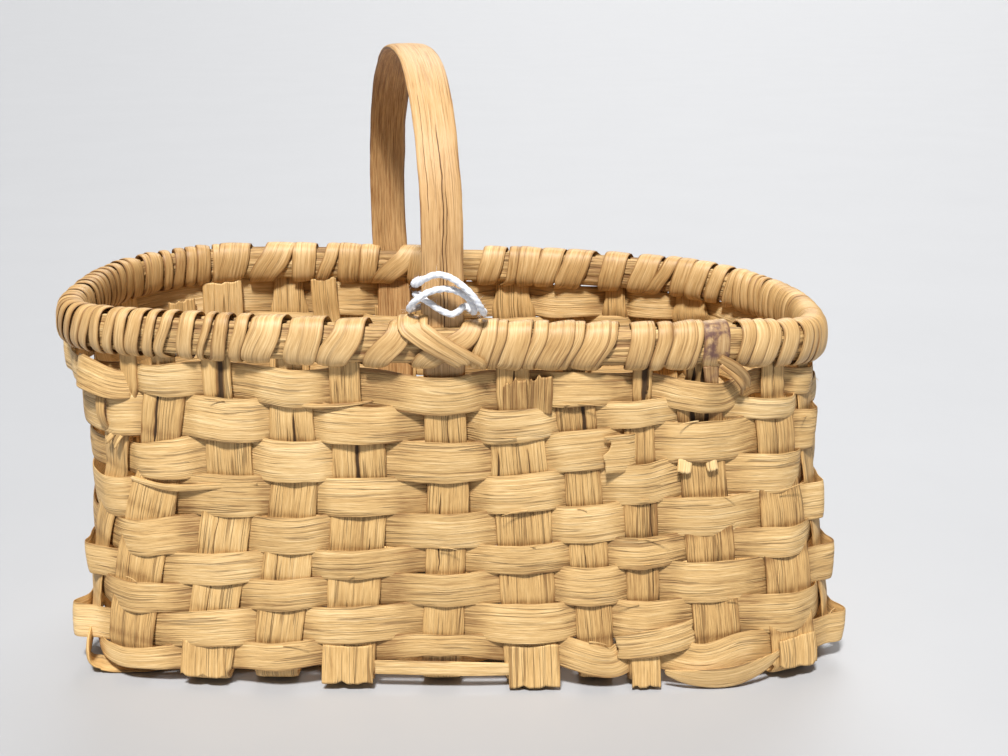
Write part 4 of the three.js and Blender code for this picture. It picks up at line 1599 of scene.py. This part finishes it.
    def fibres(self, number: int) -> list[MeshData]:
        """Slivers that have sprung from a row's edges, on its stretches outside a stake.

        Args:
            number: Row number.

        Returns:
            The slivers' arrays.
        """
        made = []
        for k in range(self.slivers):
            spot, edge, along, way, long = hashed(np.arange(5.0), float(k), number * 3.7)
            place = int((spot + 1) / 2 * len(STAKES))
            if (number + place) % 2 == 0:
                place = (place + 1) % len(STAKES)
            line, off = (number - 1, -0.4) if edge > 0 else (number, 0.6)
            height = np.array(float(WALL.line(line, STAKES[place].x(self.look))) + off)
            share = np.asarray(float(STAKES[place].share(height)) + 0.006 * along)
            out = WALL.normal(share, height)
            direction = np.array([-out[1], out[0], 0.0]) * np.sign(way)
            start = WALL.place(share, height, self.sliver_out)
            made.append(sliver(start, direction, out, 6 + 4 * long, number * 7.1 + k))
        return made

    def build(self) -> None:
        """Makes every row a piece of its own."""
        material = WEAVER_FINISH.material()
        for number in range(1, len(Wall.ROWS) + 1):
            loose = [piece.data() for piece in ROW_ENDS.get(number, ())]
            parts = [self.row(number), *loose, *self.fibres(number)]
            name = f"weaver_row_{number}"
            make_piece(f"{name}_splint", parts, material, Slot.WEAVER, name)


@dataclass
class Rim:
    """The outer and inner rim strips: together an oval bar with the stakes' tops in its middle."""

    LONG_RIDGE = (30.0, 1.1, 0.3)
    SHORT_RIDGE = (9.0, 0.8, 0.12)
    # Painted light and shade: the rim is lighter on its ridges and darker in the hollows between
    # them.
    RIDGE_SHADING = 0.8
    DRIFT = 0.1
    EDGE = 0.2

    gap_half: float = 1.35
    half_depth: float = 3.75
    half_height: float = 6.1
    squareness: float = 2.7
    edge_angle: float = 0.42
    small_angle: float = 0.01
    length: float = 640.0
    steps: int = 620
    points_across: int = 29
    # Painted shade: both rim strips are darker all over, for the shadow in the gaps between turns
    # of lashing.
    tone: float = -0.22

    def place(self, share: Array, out: Array, up: Array) -> Array:
        """Points on the rim.

        Args:
            share: Shares of the rim.
            out: Distances outside its middle.
            up: Heights above its middle.

        Returns:
            Points, one row of x, y, z each.
        """
        share = np.asarray(share, float)
        top = np.full(share.shape, WALL.height)
        points = WALL.place(share, top, np.broadcast_to(out, share.shape))
        points[..., 2] = WALL.rim_level(WALL.place(share, top)[..., 0]) + up
        return points

    def section(self, angle: Array, grow: float) -> tuple[Array, Array]:
        """The oval bar's outline: a superellipse, grown evenly.

        Args:
            angle: Angles from straight down, turning outwards.
            grow: How far outside the bar.

        Returns:
            Distances outside the rim's middle and heights above it.
        """
        s, c = np.sin(angle), -np.cos(angle)
        power = self.squareness
        a, b = self.half_depth, self.half_height
        r = (np.abs(s / a) ** power + np.abs(c / b) ** power) ** (-1 / power)
        return (r + grow) * s, (r + grow) * c

    def skin(self, share: Array, angle: Array, grow: float) -> tuple[Array, Array]:
        """Points on the grown outline, and the directions square to its slope there.

        Args:
            share: Shares of the rim.
            angle: Angles round the bar.
            grow: How far outside the bar.

        Returns:
            Points and directions.
        """
        out, up = self.section(angle, grow)
        next_out, next_up = self.section(angle + self.small_angle, grow)
        slope = unit(np.stack([next_up - up, out - next_out], -1))
        level = WALL.normal(share, np.full(len(share), WALL.height))
        return self.place(share, out, up), level * slope[:, :1] + UP * slope[:, 1:]

    def strip(self, side: int, seed: float) -> MeshData:
        """One rim strip: the part of the oval bar on one side of the stakes.

        Args:
            side: 1 for the outer strip and -1 for the inner one.
            seed: Picks its own fibres.

        Returns:
            The strip's arrays.
        """
        angle = np.linspace(self.edge_angle, np.pi - self.edge_angle, self.points_across)
        out, up = self.section(angle, 0.0)
        out = np.maximum(np.pad(out, 1), self.gap_half)[None, :]
        up = np.pad(up, 1, mode="edge")[None, :]
        share = np.arange(self.steps)[:, None] / self.steps
        along = share * self.length
        ridge = sum(
            weight * noise(along / length, up / wide, seed + step)
            for (length, wide, weight), step in ((self.LONG_RIDGE, 4), (self.SHORT_RIDGE, 8))
        )
        grown = out + ridge * (out > self.gap_half + self.EDGE)
        points = self.place(np.broadcast_to(share, grown.shape), side * grown, up).reshape(-1, 3)
        faces = outward(points, tube_faces(self.steps, out.size, True))
        fibre = np.stack(np.broadcast_arrays(along / CM, up / CM + seed), -1).reshape(-1, 2)
        drift = self.DRIFT * wobble(along / self.LONG_RIDGE[0], seed)
        # Painted light and shade on the ridges and hollows, and painted shade all over from the
        # rim's tone.
        tone = (drift + ridge * self.RIDGE_SHADING + self.tone).ravel()
        return MeshData(points, faces, fibre, tone, tone * 0)

    def build(self) -> None:
        """Makes both strips."""
        material = RIM_FINISH.material()
        for name, side, seed in (("rim_outer", 1, 3.3), ("rim_inner", -1, 8.1)):
            make_piece(f"{name}_strip", [self.strip(side, seed)], material, Slot.RIM, name)


@dataclass(frozen=True)
class Wrap:
    """One turn of lashing on the side of the rim that shows from the front.

    Its middle lies at x along the basket, it is `width` wide, and its top is `lean` further along
    than its foot, as seen from the front.
    """

    x: float
    width: float
    lean: float = 2.5
    stain: float = 0.0


FRONT_WRAPS = tuple(Wrap(*sizes) for sizes in (
    (-103.5, 4.2, 1.0), (-99.0, 3.6, 2.4), (-95.3, 3.8, 1.4), (-91.2, 4.8, 2.4),
    (-86.4, 3.2, 2.0), (-82.2, 3.4, 3.6), (-75.2, 5.0, 1.4), (-69.7, 2.4, 3.4), (-65.0, 4.4, 1.6),
    (-59.6, 4.0, 3), (-52.9, 9.4, 4.4), (-40.5, 10.0, 3.0), (-29.5, 9.4, 6.4), (-15.6, 7.6, 9.0),
    (2.2, 6.4, 16.5), (12.7, 6.2, 3.2), (16.6, 3.6, 3.4), (21.8, 7.8, 3), (27.6, 4.6, 4.6),
    (33.4, 8.2, 5), (38.2, 4.4, 5.4), (44.0, 7.8, 5.6), (48.0, 3.4, 6), (58.7, 7.2, 2),
    (65.0, 4.6, 2.8), (70.8, 7.6, 2.6), (74.6, 4.2, 2.4), (81.0, 8.2, 0.6, 1.0), (90.2, 4.8),
    (94.2, 4.8), (98.0, 4.8), (103.6, 6.8), (109.3, 5.4),
))
BACK_WRAPS = tuple(Wrap(*sizes) for sizes in (
    (102.0, 5.4, 4), (96.0, 5.6, 5), (89.5, 6.6, 5), (84.0, 6.0, 4), (77.0, 5.0, 9),
    (70.4, 8.2, 6), (59.0, 8.8, 3.5), (44.6, 9.6, 6), (35.2, 8.2, 5), (27.6, 8.0, 2.4),
    (22.0, 4.0, 2), (13.6, 8.2, 4), (-13.0, 7.4, 2), (-21.4, 8.0, 15), (-31.6, 6.6, 2),
    (-38.8, 8.2, 1.6), (-47.0, 5.0, 6), (-55.6, 8.4, 1.5), (-68.0, 9.6, 10), (-87.0, 11.0, 14),
))
# How many turns fill each end of the rim, and about how wide they are
RIGHT_TURNS, RIGHT_WIDTH = 24, 3.8
LEFT_TURNS, LEFT_WIDTH = 26, 4.6
# The torn turn near the right corner, which belongs to the second length
TORN_PART = 1
TORN_TURN = (
    Loose(((81.6, 107.0, 4.4, 2.8), (85.6, 104.4, 5.8, 3.6), (89.4, 100.4, 5.2, 3.4),
           (91.4, 95.6, 2.6, 2.4)), 81, ragged=(1, 3), roll=0.5, tone=-0.1),
    Loose(((82.4, 105.2, 4.4, 2.4), (86.4, 101.8, 5.0, 3.0), (89.2, 98.0, 4.6, 2.8),
           (90.4, 94.4, 2.4, 1.8)), 82, ragged=(1, 3), roll=-0.3, tone=-0.25),
    Loose(((80.0, 104.5, 3.2, 5.0), (80.6, 100, 2.6, 4.6), (81.4, 95.4, 2.2, 3.4)), 83,
          ragged=(0.5, 4.5), tone=-0.25, stain=0.5),
)


@dataclass(frozen=True, order=True)
class Turn:
    """A turn of lashing: its shares of the rim at the top and the foot, its width and stain."""

    top: float
    foot: float
    width: float
    stain: float = 0.0

    def moved(self, laps: int) -> "Turn":
        """The same turn, counted whole laps of the rim further on."""
        return Turn(self.top + laps, self.foot + laps, self.width, self.stain)


@dataclass
class Lashing:
    """Thin splint wound round the rim in four lengths, and the second arm of the X."""

    KNOTS = np.radians([0, 13, 34, 130, 180, 235, 330, 346, 360])
    STAINED = np.radians([40, 60, 160, 190])
    ARM = np.radians([38, 318])
    ARM_BEND = np.radians(50)
    ARM_REACH = np.radians(95)

    rim: Rim
    thickness: float = 0.6
    fit: float = 0.15
    air: float = 0.35
    folded: float = 3.4
    lengths: int = 4
    stations: int = 48
    stake_share: float = 0.62
    stake_clear: float = 1.0
    half_lean: float = 1.6
    top_change: float = 0.8
    foot_change: float = 0.7
    width_change: float = 1.3
    overlap: float = 0.2
    overlap_rise: float = 1.15
    flat_lift: float = 0.05
    share_soft: float = 1.6
    width_soft: float = 1.2
    lift_soft: float = 2.0
    arm_air: float = 0.4
    arm_stations: int = 70

    def _ends(self, wrap: Wrap, side: Side) -> tuple[float, float]:
        """The shares of the rim where a turn's visible stretch starts and stops."""
        middle = float(WALL.share_of(side, wrap.x, WALL.height))
        half = wrap.lean / 2 / WALL.rim_length
        return middle - half, middle + half

    def _filled(
        self, count: int, start: float, stop: float, seed: float, wide: float
    ) -> list[Turn]:
        """Turns spread evenly over an end of the rim, with widths that vary.

        Args:
            count: How many turns.
            start: Share of the rim before the first.
            stop: Share of the rim after the last.
            seed: Picks the variation.
            wide: Their middle width.

        Returns:
            The turns.
        """
        turns = []
        for i in range(count):
            middle = lerp(start, stop, (i + 1) / (count + 1))
            chance, other = hashed(i, np.array([11, 12]), seed)
            top = middle + (self.half_lean + self.top_change * other) / WALL.rim_length
            foot = middle - (self.half_lean + self.foot_change * chance) / WALL.rim_length
            turns.append(Turn(top, foot, wide + self.width_change * chance))
        return turns

    def turns(self) -> list[Turn]:
        """Every turn, in the order in which the lashing goes round.

        On the front the outer face shows, and rises from foot to top. On the back the inner face
        shows, and falls from the top to the next turn's foot. The ends are filled evenly.

        Returns:
            The turns by their tops.
        """
        turns = []
        for wrap in FRONT_WRAPS:
            foot, top = self._ends(wrap, Side.FRONT)
            turns.append(Turn(top, foot, wrap.width, wrap.stain))
        start = self._ends(BACK_WRAPS[0], Side.BACK)[0]
        turns += self._filled(RIGHT_TURNS, turns[-1].top, start, 1.0, RIGHT_WIDTH)
        foot = (turns[-1].top + start) / 2
        for wrap in BACK_WRAPS:
            top, following = self._ends(wrap, Side.BACK)
            turns.append(Turn(top, foot, wrap.width))
            foot = following
        turns += self._filled(LEFT_TURNS, turns[-1].top, 1 + min(turns).top, 2.0, LEFT_WIDTH)
        return sorted(turns)

    def crossing(self, share: float) -> float:
        """The nearest place under the rim that is clear of every stake.

        Args:
            share: Share of the rim to start from.

        Returns:
            Share of the rim.
        """
        spots = []
        for before, after in zip(STAKES, STAKES[1:] + STAKES[:1]):
            low, high = (
                float(stake.share(WALL.height))
                + way * (self.stake_share * stake.width / 2 + self.stake_clear) / WALL.rim_length
                for stake, way in ((before, 1), (after, -1))
            )
            high += high < low
            spots += [min(max(share, low + laps), high + laps) for laps in (-1, 0, 1)]
        return min(spots, key=lambda spot: abs(spot - share))

    def _wound(self, before: Turn, turn: Turn, after: Turn) -> Array:
        """One turn's way round the oval bar, from one crossing under the rim to the next.

        It goes up the outer face, over the top and down the inner face. Its share of the rim
        follows a line through its foot, its top and the next foot. A turn that is too wide for
        its room lies with one edge on the turn before.

        Args:
            before: The turn before it.
            turn: The turn.
            after: The turn after it.

        Returns:
            Columns: angle round the bar, share of the rim, width, stain and lift of one edge.
        """
        steps = np.linspace(0, TURN, self.stations, endpoint=False)
        here, there = self.crossing(turn.foot), self.crossing(after.foot)
        foot, top, following, width = turn.foot, turn.top, after.foot, turn.width
        shares = [
            here, lerp(here, foot, 0.85), foot, lerp(foot, top, 0.88), top,
            lerp(top, following, 0.25), lerp(top, following, 0.85), lerp(there, following, 0.7),
            there,
        ]
        widths = [self.folded, width * 0.8, *[width] * 5, width * 0.75, self.folded]
        pitch = (after.top - before.top) / 2 * WALL.rim_length
        overlaps = width > pitch + self.overlap
        lift = self.thickness * self.overlap_rise / pitch if overlaps else self.flat_lift
        return np.stack([
            steps, np.interp(steps, self.KNOTS, shares), np.interp(steps, self.KNOTS, widths),
            np.interp(steps, self.STAINED, [0, turn.stain, turn.stain, 0]),
            np.full(len(steps), lift),
        ], axis=1)

    def length_of(self, turns: list[Turn], first: int, last: int, seed: float) -> MeshData:
        """One length of lashing, wound over the turns from first up to last.

        Args:
            turns: All turns.
            first: The first turn's number.
            last: The number after the last turn.
            seed: Picks its own fibres.

        Returns:
            The length's arrays.
        """
        ring = [turns[-1].moved(-1), *turns, turns[0].moved(1)]
        three = zip(ring[first:last], ring[first + 1:], ring[first + 2:])
        angle, share, width, stain, lift = np.concatenate([self._wound(*some) for some in three]).T
        share, width = softened(share, self.share_soft), softened(width, self.width_soft)
        centre, normal = self.rim.skin(share, angle, self.fit + self.thickness / 2 + self.air)
        number = np.arange(len(share)) / self.stations
        tone = 0.13 * wobble(number * 1.3, seed) + 0.07 * wobble(number * 7, seed + 1)
        return Strip(
            centre, normal, width, self.thickness, seed, cup=0.2,
            roll=-softened(lift, self.lift_soft), columns=13, step=0.7, ragged=(2, 2), tone=tone,
            # Painted shade: the turns' edges are darker still, for the shade in the gaps between
            # turns.
            stain=stain, relief=0.06, wander=0.3, lip=0.05, edge_dirt_and_shade=0.5,
        ).data()

    def arm(self, low: float, top: float, width: float, seed: float, layer: float) -> MeshData:
        """An arm of the X that falls to the right over the front leg.

        Args:
            low: Its place along the basket at its foot.
            top: Its place along the basket over the top.
            width: Its width.
            seed: Picks its own fibres.
            layer: How far it lies outside the turns below.

        Returns:
            The arm's arrays.
        """
        angle = np.linspace(*self.ARM, self.arm_stations)
        x = lerp(low, top, np.clip((angle - self.ARM_BEND) / self.ARM_REACH, 0, 1))
        share = WALL.share_of(Side.FRONT, x, np.full(len(x), WALL.height))
        grow = self.fit + self.thickness * 1.5 + self.arm_air + layer
        return Strip(
            *self.rim.skin(share, angle, grow), width, self.thickness, seed, cup=0.3, columns=13,
            step=0.8, ragged=(2, 2), tone=0.03,
        ).data()

    def build(self) -> None:
        """Makes the lengths and the cross wrap."""
        material = LASHING_FINISH.material()
        turns = self.turns()
        for part in range(self.lengths):
            first, last = (round(k * len(turns) / self.lengths) for k in (part, part + 1))
            data = self.length_of(turns, first, last, 2.9 * part + 4)
            loose = [piece.data() for piece in TORN_TURN] if part == TORN_PART else []
            name = f"rim_lashing_{part + 1}"
            make_piece(f"{name}_splint", [data, *loose], material, Slot.LASHING, name)
        arms = [self.arm(7.2, -9.5, 6.2, 51.0, 0.75), self.arm(12.4, -4.9, 2.6, 53.0, 1.0)]
        make_piece("handle_cross_wrap_splint", arms, material, Slot.LASHING, "handle_cross_wrap")


@dataclass
class Handle:
    """One bent splint over the basket's short way, its legs caught in the rim."""

    CRACKS = (
        Split(-0.05, 112, 176, 0.3, 0.5), Split(-0.2, 120, 158, 0.16, 0.35),
        Split(0.1, 108, 140, 0.12, 0.3), Split(0.62, 150, 184, 0.05, 0.2),
    )
    LEAN_BACKWARDS = (-30.0, 50.0)
    LEAN_UPWARDS = (104.0, 20.0)

    width: float = 12.6
    uneven: float = 0.35
    thickness: float = 2.0
    leg_thickness: float = 1.2
    leg_top: float = 8.0
    leg_free: float = 10.0
    straight: float = 30.0
    rise: float = 53.0
    soft: float = 5.0
    back_lean: float = 1.8
    back_below: float = 500.0

    def leg(self, stake: Stake) -> tuple[Array, Array]:
        """Path of one leg from its hidden end up to the top of the rim.

        Args:
            stake: The standing end that the leg lies against.

        Returns:
            Points and outward directions.
        """
        x = stake.x(WALL.height)
        low, bend = (float(WALL.row_middle(row, x)) for row in (LEG_END_ROW, 1))
        top = float(WALL.rim_level(x)) + self.leg_top
        z = np.arange(low, top, 1.0)
        inside = -(Wall.STAKE_THICKNESS + self.leg_thickness) / 2 - Wall.FIT
        depth = lerp(inside, 0.0, above(z, bend, top - self.leg_free - bend))
        share = stake.share(z)
        return WALL.place(share, z, depth), WALL.normal(share, z)

    def path(self) -> tuple[Array, Array]:
        """The whole handle: both legs, and an arch whose height is the sine of its angle.

        Its back leans to the left, by a smooth step backwards times one upwards.

        Returns:
            Points and outward directions.
        """
        front, way_front = self.leg(stake_at(Side.FRONT, FRONT_LEG))
        back, way_back = self.leg(stake_at(Side.BACK, BACK_LEG))
        angle = np.linspace(0, np.pi, 90)[:, None]
        over = (back[-1] - front[-1]) * np.array([1, 1, 0])
        radius = np.linalg.norm(over) / 2
        over = unit(over)
        middle = (front[-1] + back[-1]) / 2
        middle[2] = float(WALL.rim_level(0.0)) + self.straight
        arch = middle - over * radius * np.cos(angle) + UP * self.rise * np.sin(angle)
        facing = unit(UP * np.sin(angle) / self.rise - over * np.cos(angle) / radius)
        centre = np.concatenate([front, arch, back[::-1]])
        normal = np.concatenate([way_front, facing, way_back[::-1]])
        along = walked(centre)
        even = np.linspace(0, along[-1], int(along[-1]))
        centre, normal = (read_at(even, along, values) for values in (centre, normal))
        leaning = above(centre[:, 1], *self.LEAN_BACKWARDS)
        leaning *= above(centre[:, 2], *self.LEAN_UPWARDS)
        centre[:, 0] -= self.back_lean * leaning
        return softened(centre, self.soft), unit(softened(normal, self.soft))

    def build(self) -> None:
        """Makes the handle, with the long crack in its front leg."""
        centre, normal = self.path()
        number = np.arange(float(len(centre)))
        width = self.width + self.uneven * wobble(number / 30, 2.0)
        heights = centre[:, 2] - self.back_below * (centre[:, 1] >= 0)
        data = Strip(
            centre, normal, width, self.thickness, 17.0, cup=0.25, columns=31, step=0.8,
            # Painted shade: the inner face is darker, as the back leg's inner face is in shade.
            tone=0.1 * wobble(number / 35, 5.0), inner_light_and_shade=-0.3, relief=0.06,
            splits=self.CRACKS, heights=heights, ragged=(2, 2),
        ).data()
        make_piece("handle_splint", [data], HANDLE_FINISH.material(), Slot.HANDLE, "handle")


# The string's route: how far along the rim from the leg's middle, outwards and above the rim
STRING_ROUTE = (
    (6.6, 2.9, 4.6), (4.9, 3.4, 2.8), (2.6, 3.6, 1.7), (-0.6, 3.5, 2.9), (-4, 3.4, 5.2),
    (-6.7, 2.8, 6.6), (-8, 0.5, 6.9), (-7.4, -2.2, 6.3), (-4, -3.4, 5.3), (0, -3.5, 4.2),
    (4, -3.4, 3.1), (7.2, -2.4, 2.2), (8.6, 0, 1.8), (9.2, 2.6, 2.2), (9.1, 4.9, 4.1),
    (7.3, 6, 7.3), (4, 6.2, 9.3), (0.3, 6.3, 9.9), (-4, 6.3, 8.8), (-7.4, 6, 6.6),
    (-9.4, 3.7, 4), (-9.8, 0.4, 2.4), (-8.6, -3, 2), (-5, -5.8, 2.2), (0, -6.5, 2.2),
    (5, -6.4, 2.2), (9.6, -4.6, 1.8), (11.8, -1, 1.7), (12.1, 2.8, 1.9), (11.7, 5.9, 3.3),
    (10.6, 7.9, 5.8), (8.6, 8.7, 8.8), (6, 8.6, 11.3), (2.4, 8, 13.6), (-1.2, 7.2, 14.3),
    (-4.7, 6, 12.9), (-7.2, 4, 10.9), (-8.4, 1, 10.3), (-7.4, -2.7, 10.6), (-3.6, -3.6, 11.2),
)


@dataclass
class TagString:
    """White cotton string in loose turns round the front leg, over the rim."""

    TWIST = (0.8, 0.2, 0.7)
    COARSE_FUZZ = (2.4, 3.0, 0.07)
    FINE_FUZZ = (6.0, 7.0, 0.05)
    BLUNT = (0.9, 0.08)
    EVEN_SWELL = 0.95
    SWELL_SHADING = 2.2
    HAIR_LENGTH = (1.5, 0.9)
    HAIR_BEND = 0.6
    HAIR_TAPER = 0.7

    diameter: float = 2.0
    rim_top: float = Wall.RIM_HALF + 0.45 + 1.6 + Wall.FIT
    step: float = 0.3
    plies: int = 3
    pitch: float = 7.5
    sides: int = 24
    hairs: int = 420
    hair_rings: int = 5
    hair_sides: int = 3
    hair_half: float = 0.05
    hair_tone: float = 0.3

    def path(self) -> Array:
        """The string's smooth path round the leg.

        Returns:
            Points at even steps.
        """
        share = stake_at(Side.FRONT, FRONT_LEG).share(WALL.height)
        spot, way = WALL.place(share, WALL.height), WALL.normal(share, WALL.height)
        spot[2] = float(WALL.rim_level(spot[0])) + self.rim_top
        across, out, up = np.array(STRING_ROUTE).T[..., None]
        along = np.array([-way[1], way[0], 0.0])
        return through(spot + along * across + way * out + UP * up, self.step)

    def cord(self, path: Array) -> MeshData:
        """The twisted string: its radius swells three times round, and the swellings turn along it.

        Args:
            path: Points along it.

        Returns:
            The string's arrays.
        """
        forward = unit(np.gradient(path, axis=0))
        side = unit(np.cross(forward, np.array([0.12, 0.05, 1.0])))
        over = np.cross(side, forward)
        along = np.arange(len(path))[:, None] * self.step
        angle = np.linspace(0, TURN, self.sides, endpoint=False)[None, :]
        turn = angle - along * TURN / self.pitch
        least, more, shape = self.TWIST
        swell = least + more * np.abs(np.cos(turn * self.plies / 2)) ** shape
        for (long, round_it, weight), salt in ((self.COARSE_FUZZ, 3.0), (self.FINE_FUZZ, 5.0)):
            swell = swell + weight * noise(along * long, angle * round_it, salt)
        end = np.minimum(along, along[-1] - along)
        way, tip = self.BLUNT
        radius = self.diameter / 2 * swell * np.sqrt(np.clip(end / way + tip, 0, 1))
        c, s = np.cos(angle)[..., None], np.sin(angle)[..., None]
        points = path[:, None] + (side[:, None] * c + over[:, None] * s) * radius[..., None]
        points = points.reshape(-1, 3)
        faces = outward(points, tube_faces(len(path), self.sides, False))
        # Painted light and shade: lighter where the plies swell, darker in the hollows between
        # them.
        tone = ((swell - self.EVEN_SWELL) * self.SWELL_SHADING).ravel()
        fibre = np.stack(np.broadcast_arrays(along / CM, angle), -1).reshape(-1, 2)
        return MeshData(points, faces, fibre, tone, tone * 0)

    def fluff(self, path: Array) -> MeshData:
        """Fine cotton hairs that stand off the string in all directions and bend by a square.

        Args:
            path: Points along the string.

        Returns:
            The hairs' arrays.
        """
        chance = hashed(np.arange(float(self.hairs)), np.arange(8.0)[:, None], 8.0)
        start = path[((chance[0] + 1) / 2 * (len(path) - 1)).astype(int)]
        way, bend = unit(chance[1:4].T), unit(chance[4:7].T)
        middling, change = self.HAIR_LENGTH
        length = (middling + change * chance[7])[:, None, None]
        part = np.linspace(0, 1, self.hair_rings)[:, None]
        ring = np.linspace(0, TURN, self.hair_sides, endpoint=False)[:, None]
        bent = way[:, None] * part + bend[:, None] * (self.HAIR_BEND * part**2)
        middle = start[:, None] + length * bent
        side, over = np.cross(way, bend), np.cross(way, np.cross(way, bend))
        around = side[:, None, None] * np.cos(ring) + over[:, None, None] * np.sin(ring)
        thin = self.hair_half * (1 - self.HAIR_TAPER * part[:, None])
        points = (middle[:, :, None] + around * thin).reshape(-1, 3)
        first = np.arange(self.hairs)[:, None, None] * self.hair_rings * self.hair_sides
        faces = (first + tube_faces(self.hair_rings, self.hair_sides, False)).reshape(-1, 4)
        tone = np.full(len(points), self.hair_tone)
        return MeshData(points, outward(points, faces), points[:, :2], tone, tone * 0)

    def build(self) -> None:
        path = self.path()
        material = STRING_FINISH.material()
        cord = [self.cord(path)]
        string = make_piece("tag_string_cotton", cord, material, Slot.STRING, "tag_string")
        fluff = make_piece("tag_string_fluff", [self.fluff(path)], material, Slot.STRING)
        length = float(walked(path)[-1])
        log.info("tag string: %.1f mm", length)


@dataclass
class Studio:
    """The plain floor, soft lights and the camera."""

    camera: tuple[float, float, float] = (18.7, -495.5, 223.0)
    down: float = 15.6
    lens: float = 54.1
    film: float = 36.0
    nearest: float = 10.0
    floor_size: float = 40000.0
    sky: Colour = (0.9, 0.93, 1.0)
    sky_strength: float = 0.09

    def build(self) -> None:
        """Makes the floor, lights, world and camera."""
        self._floor()
        self._sun("key", (-9, -58, 90), 9, 5.2, (1.0, 0.98, 0.95))
        self._sun("fill", (70, -60, 40), 60, 0.25, (0.95, 0.97, 1.0))
        self._sun("back", (10, 70, 60), 40, 1.3, (1.0, 1.0, 1.0))
        scene = bpy.context.scene
        scene.world = bpy.data.worlds.new("studio")
        scene.world.use_nodes = True
        inputs = scene.world.node_tree.nodes["Background"].inputs
        inputs["Color"].default_value = (*self.sky, 1)
        inputs["Strength"].default_value = self.sky_strength
        scene.view_settings.view_transform = "Standard"
        data = bpy.data.cameras.new("camera")
        data.lens, data.sensor_width, data.clip_start = self.lens, self.film, self.nearest * MM
        scene.camera = self._added("camera", data)
        scene.camera.location = [v * MM for v in self.camera]
        scene.camera.rotation_euler = (math.radians(90 - self.down), 0, 0)

    def _added(self, name: str, data: bpy.types.ID) -> bpy.types.Object:
        """A new object in the scene."""
        made = bpy.data.objects.new(name, data)
        bpy.context.scene.collection.objects.link(made)
        return made

    def _floor(self) -> None:
        """A wide pale sheet under the basket."""
        half = self.floor_size / 2 * MM
        mesh = bpy.data.meshes.new("floor")
        corners = [(-half, -half, 0), (half, -half, 0), (half, half, 0), (-half, half, 0)]
        mesh.from_pydata(corners, [], [(0, 1, 2, 3)])
        mesh.materials.append(FloorFinish().material())
        floor = self._added("floor", mesh)
        floor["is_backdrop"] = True

    def _sun(self, name: str, way: tuple, angle: float, strength: float, colour: Colour) -> None:
        """A soft light from far away, so that it falls evenly on the floor.

        Args:
            name: The light's name.
            way: The direction that it comes from.
            angle: How wide it looks, in degrees.
            strength: Its strength in watts per square metre.
            colour: Its colour.
        """
        data = bpy.data.lights.new(name, "SUN")
        data.angle, data.energy, data.color = math.radians(angle), strength, colour
        light = self._added(name, data)
        light.rotation_euler = Vector(way).to_track_quat("Z", "Y").to_euler()


def main() -> None:
    """Builds the basket's pieces and the studio in order."""
    rim = Rim()
    for assembly in (Stakes(), Weavers(), rim, Lashing(rim), Handle(), TagString(), Studio()):
        assembly.build()
    box = [[list(corner) for corner in bounds] for bounds in (CAD_BOX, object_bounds())]


if __name__ == "__main__":
    main()
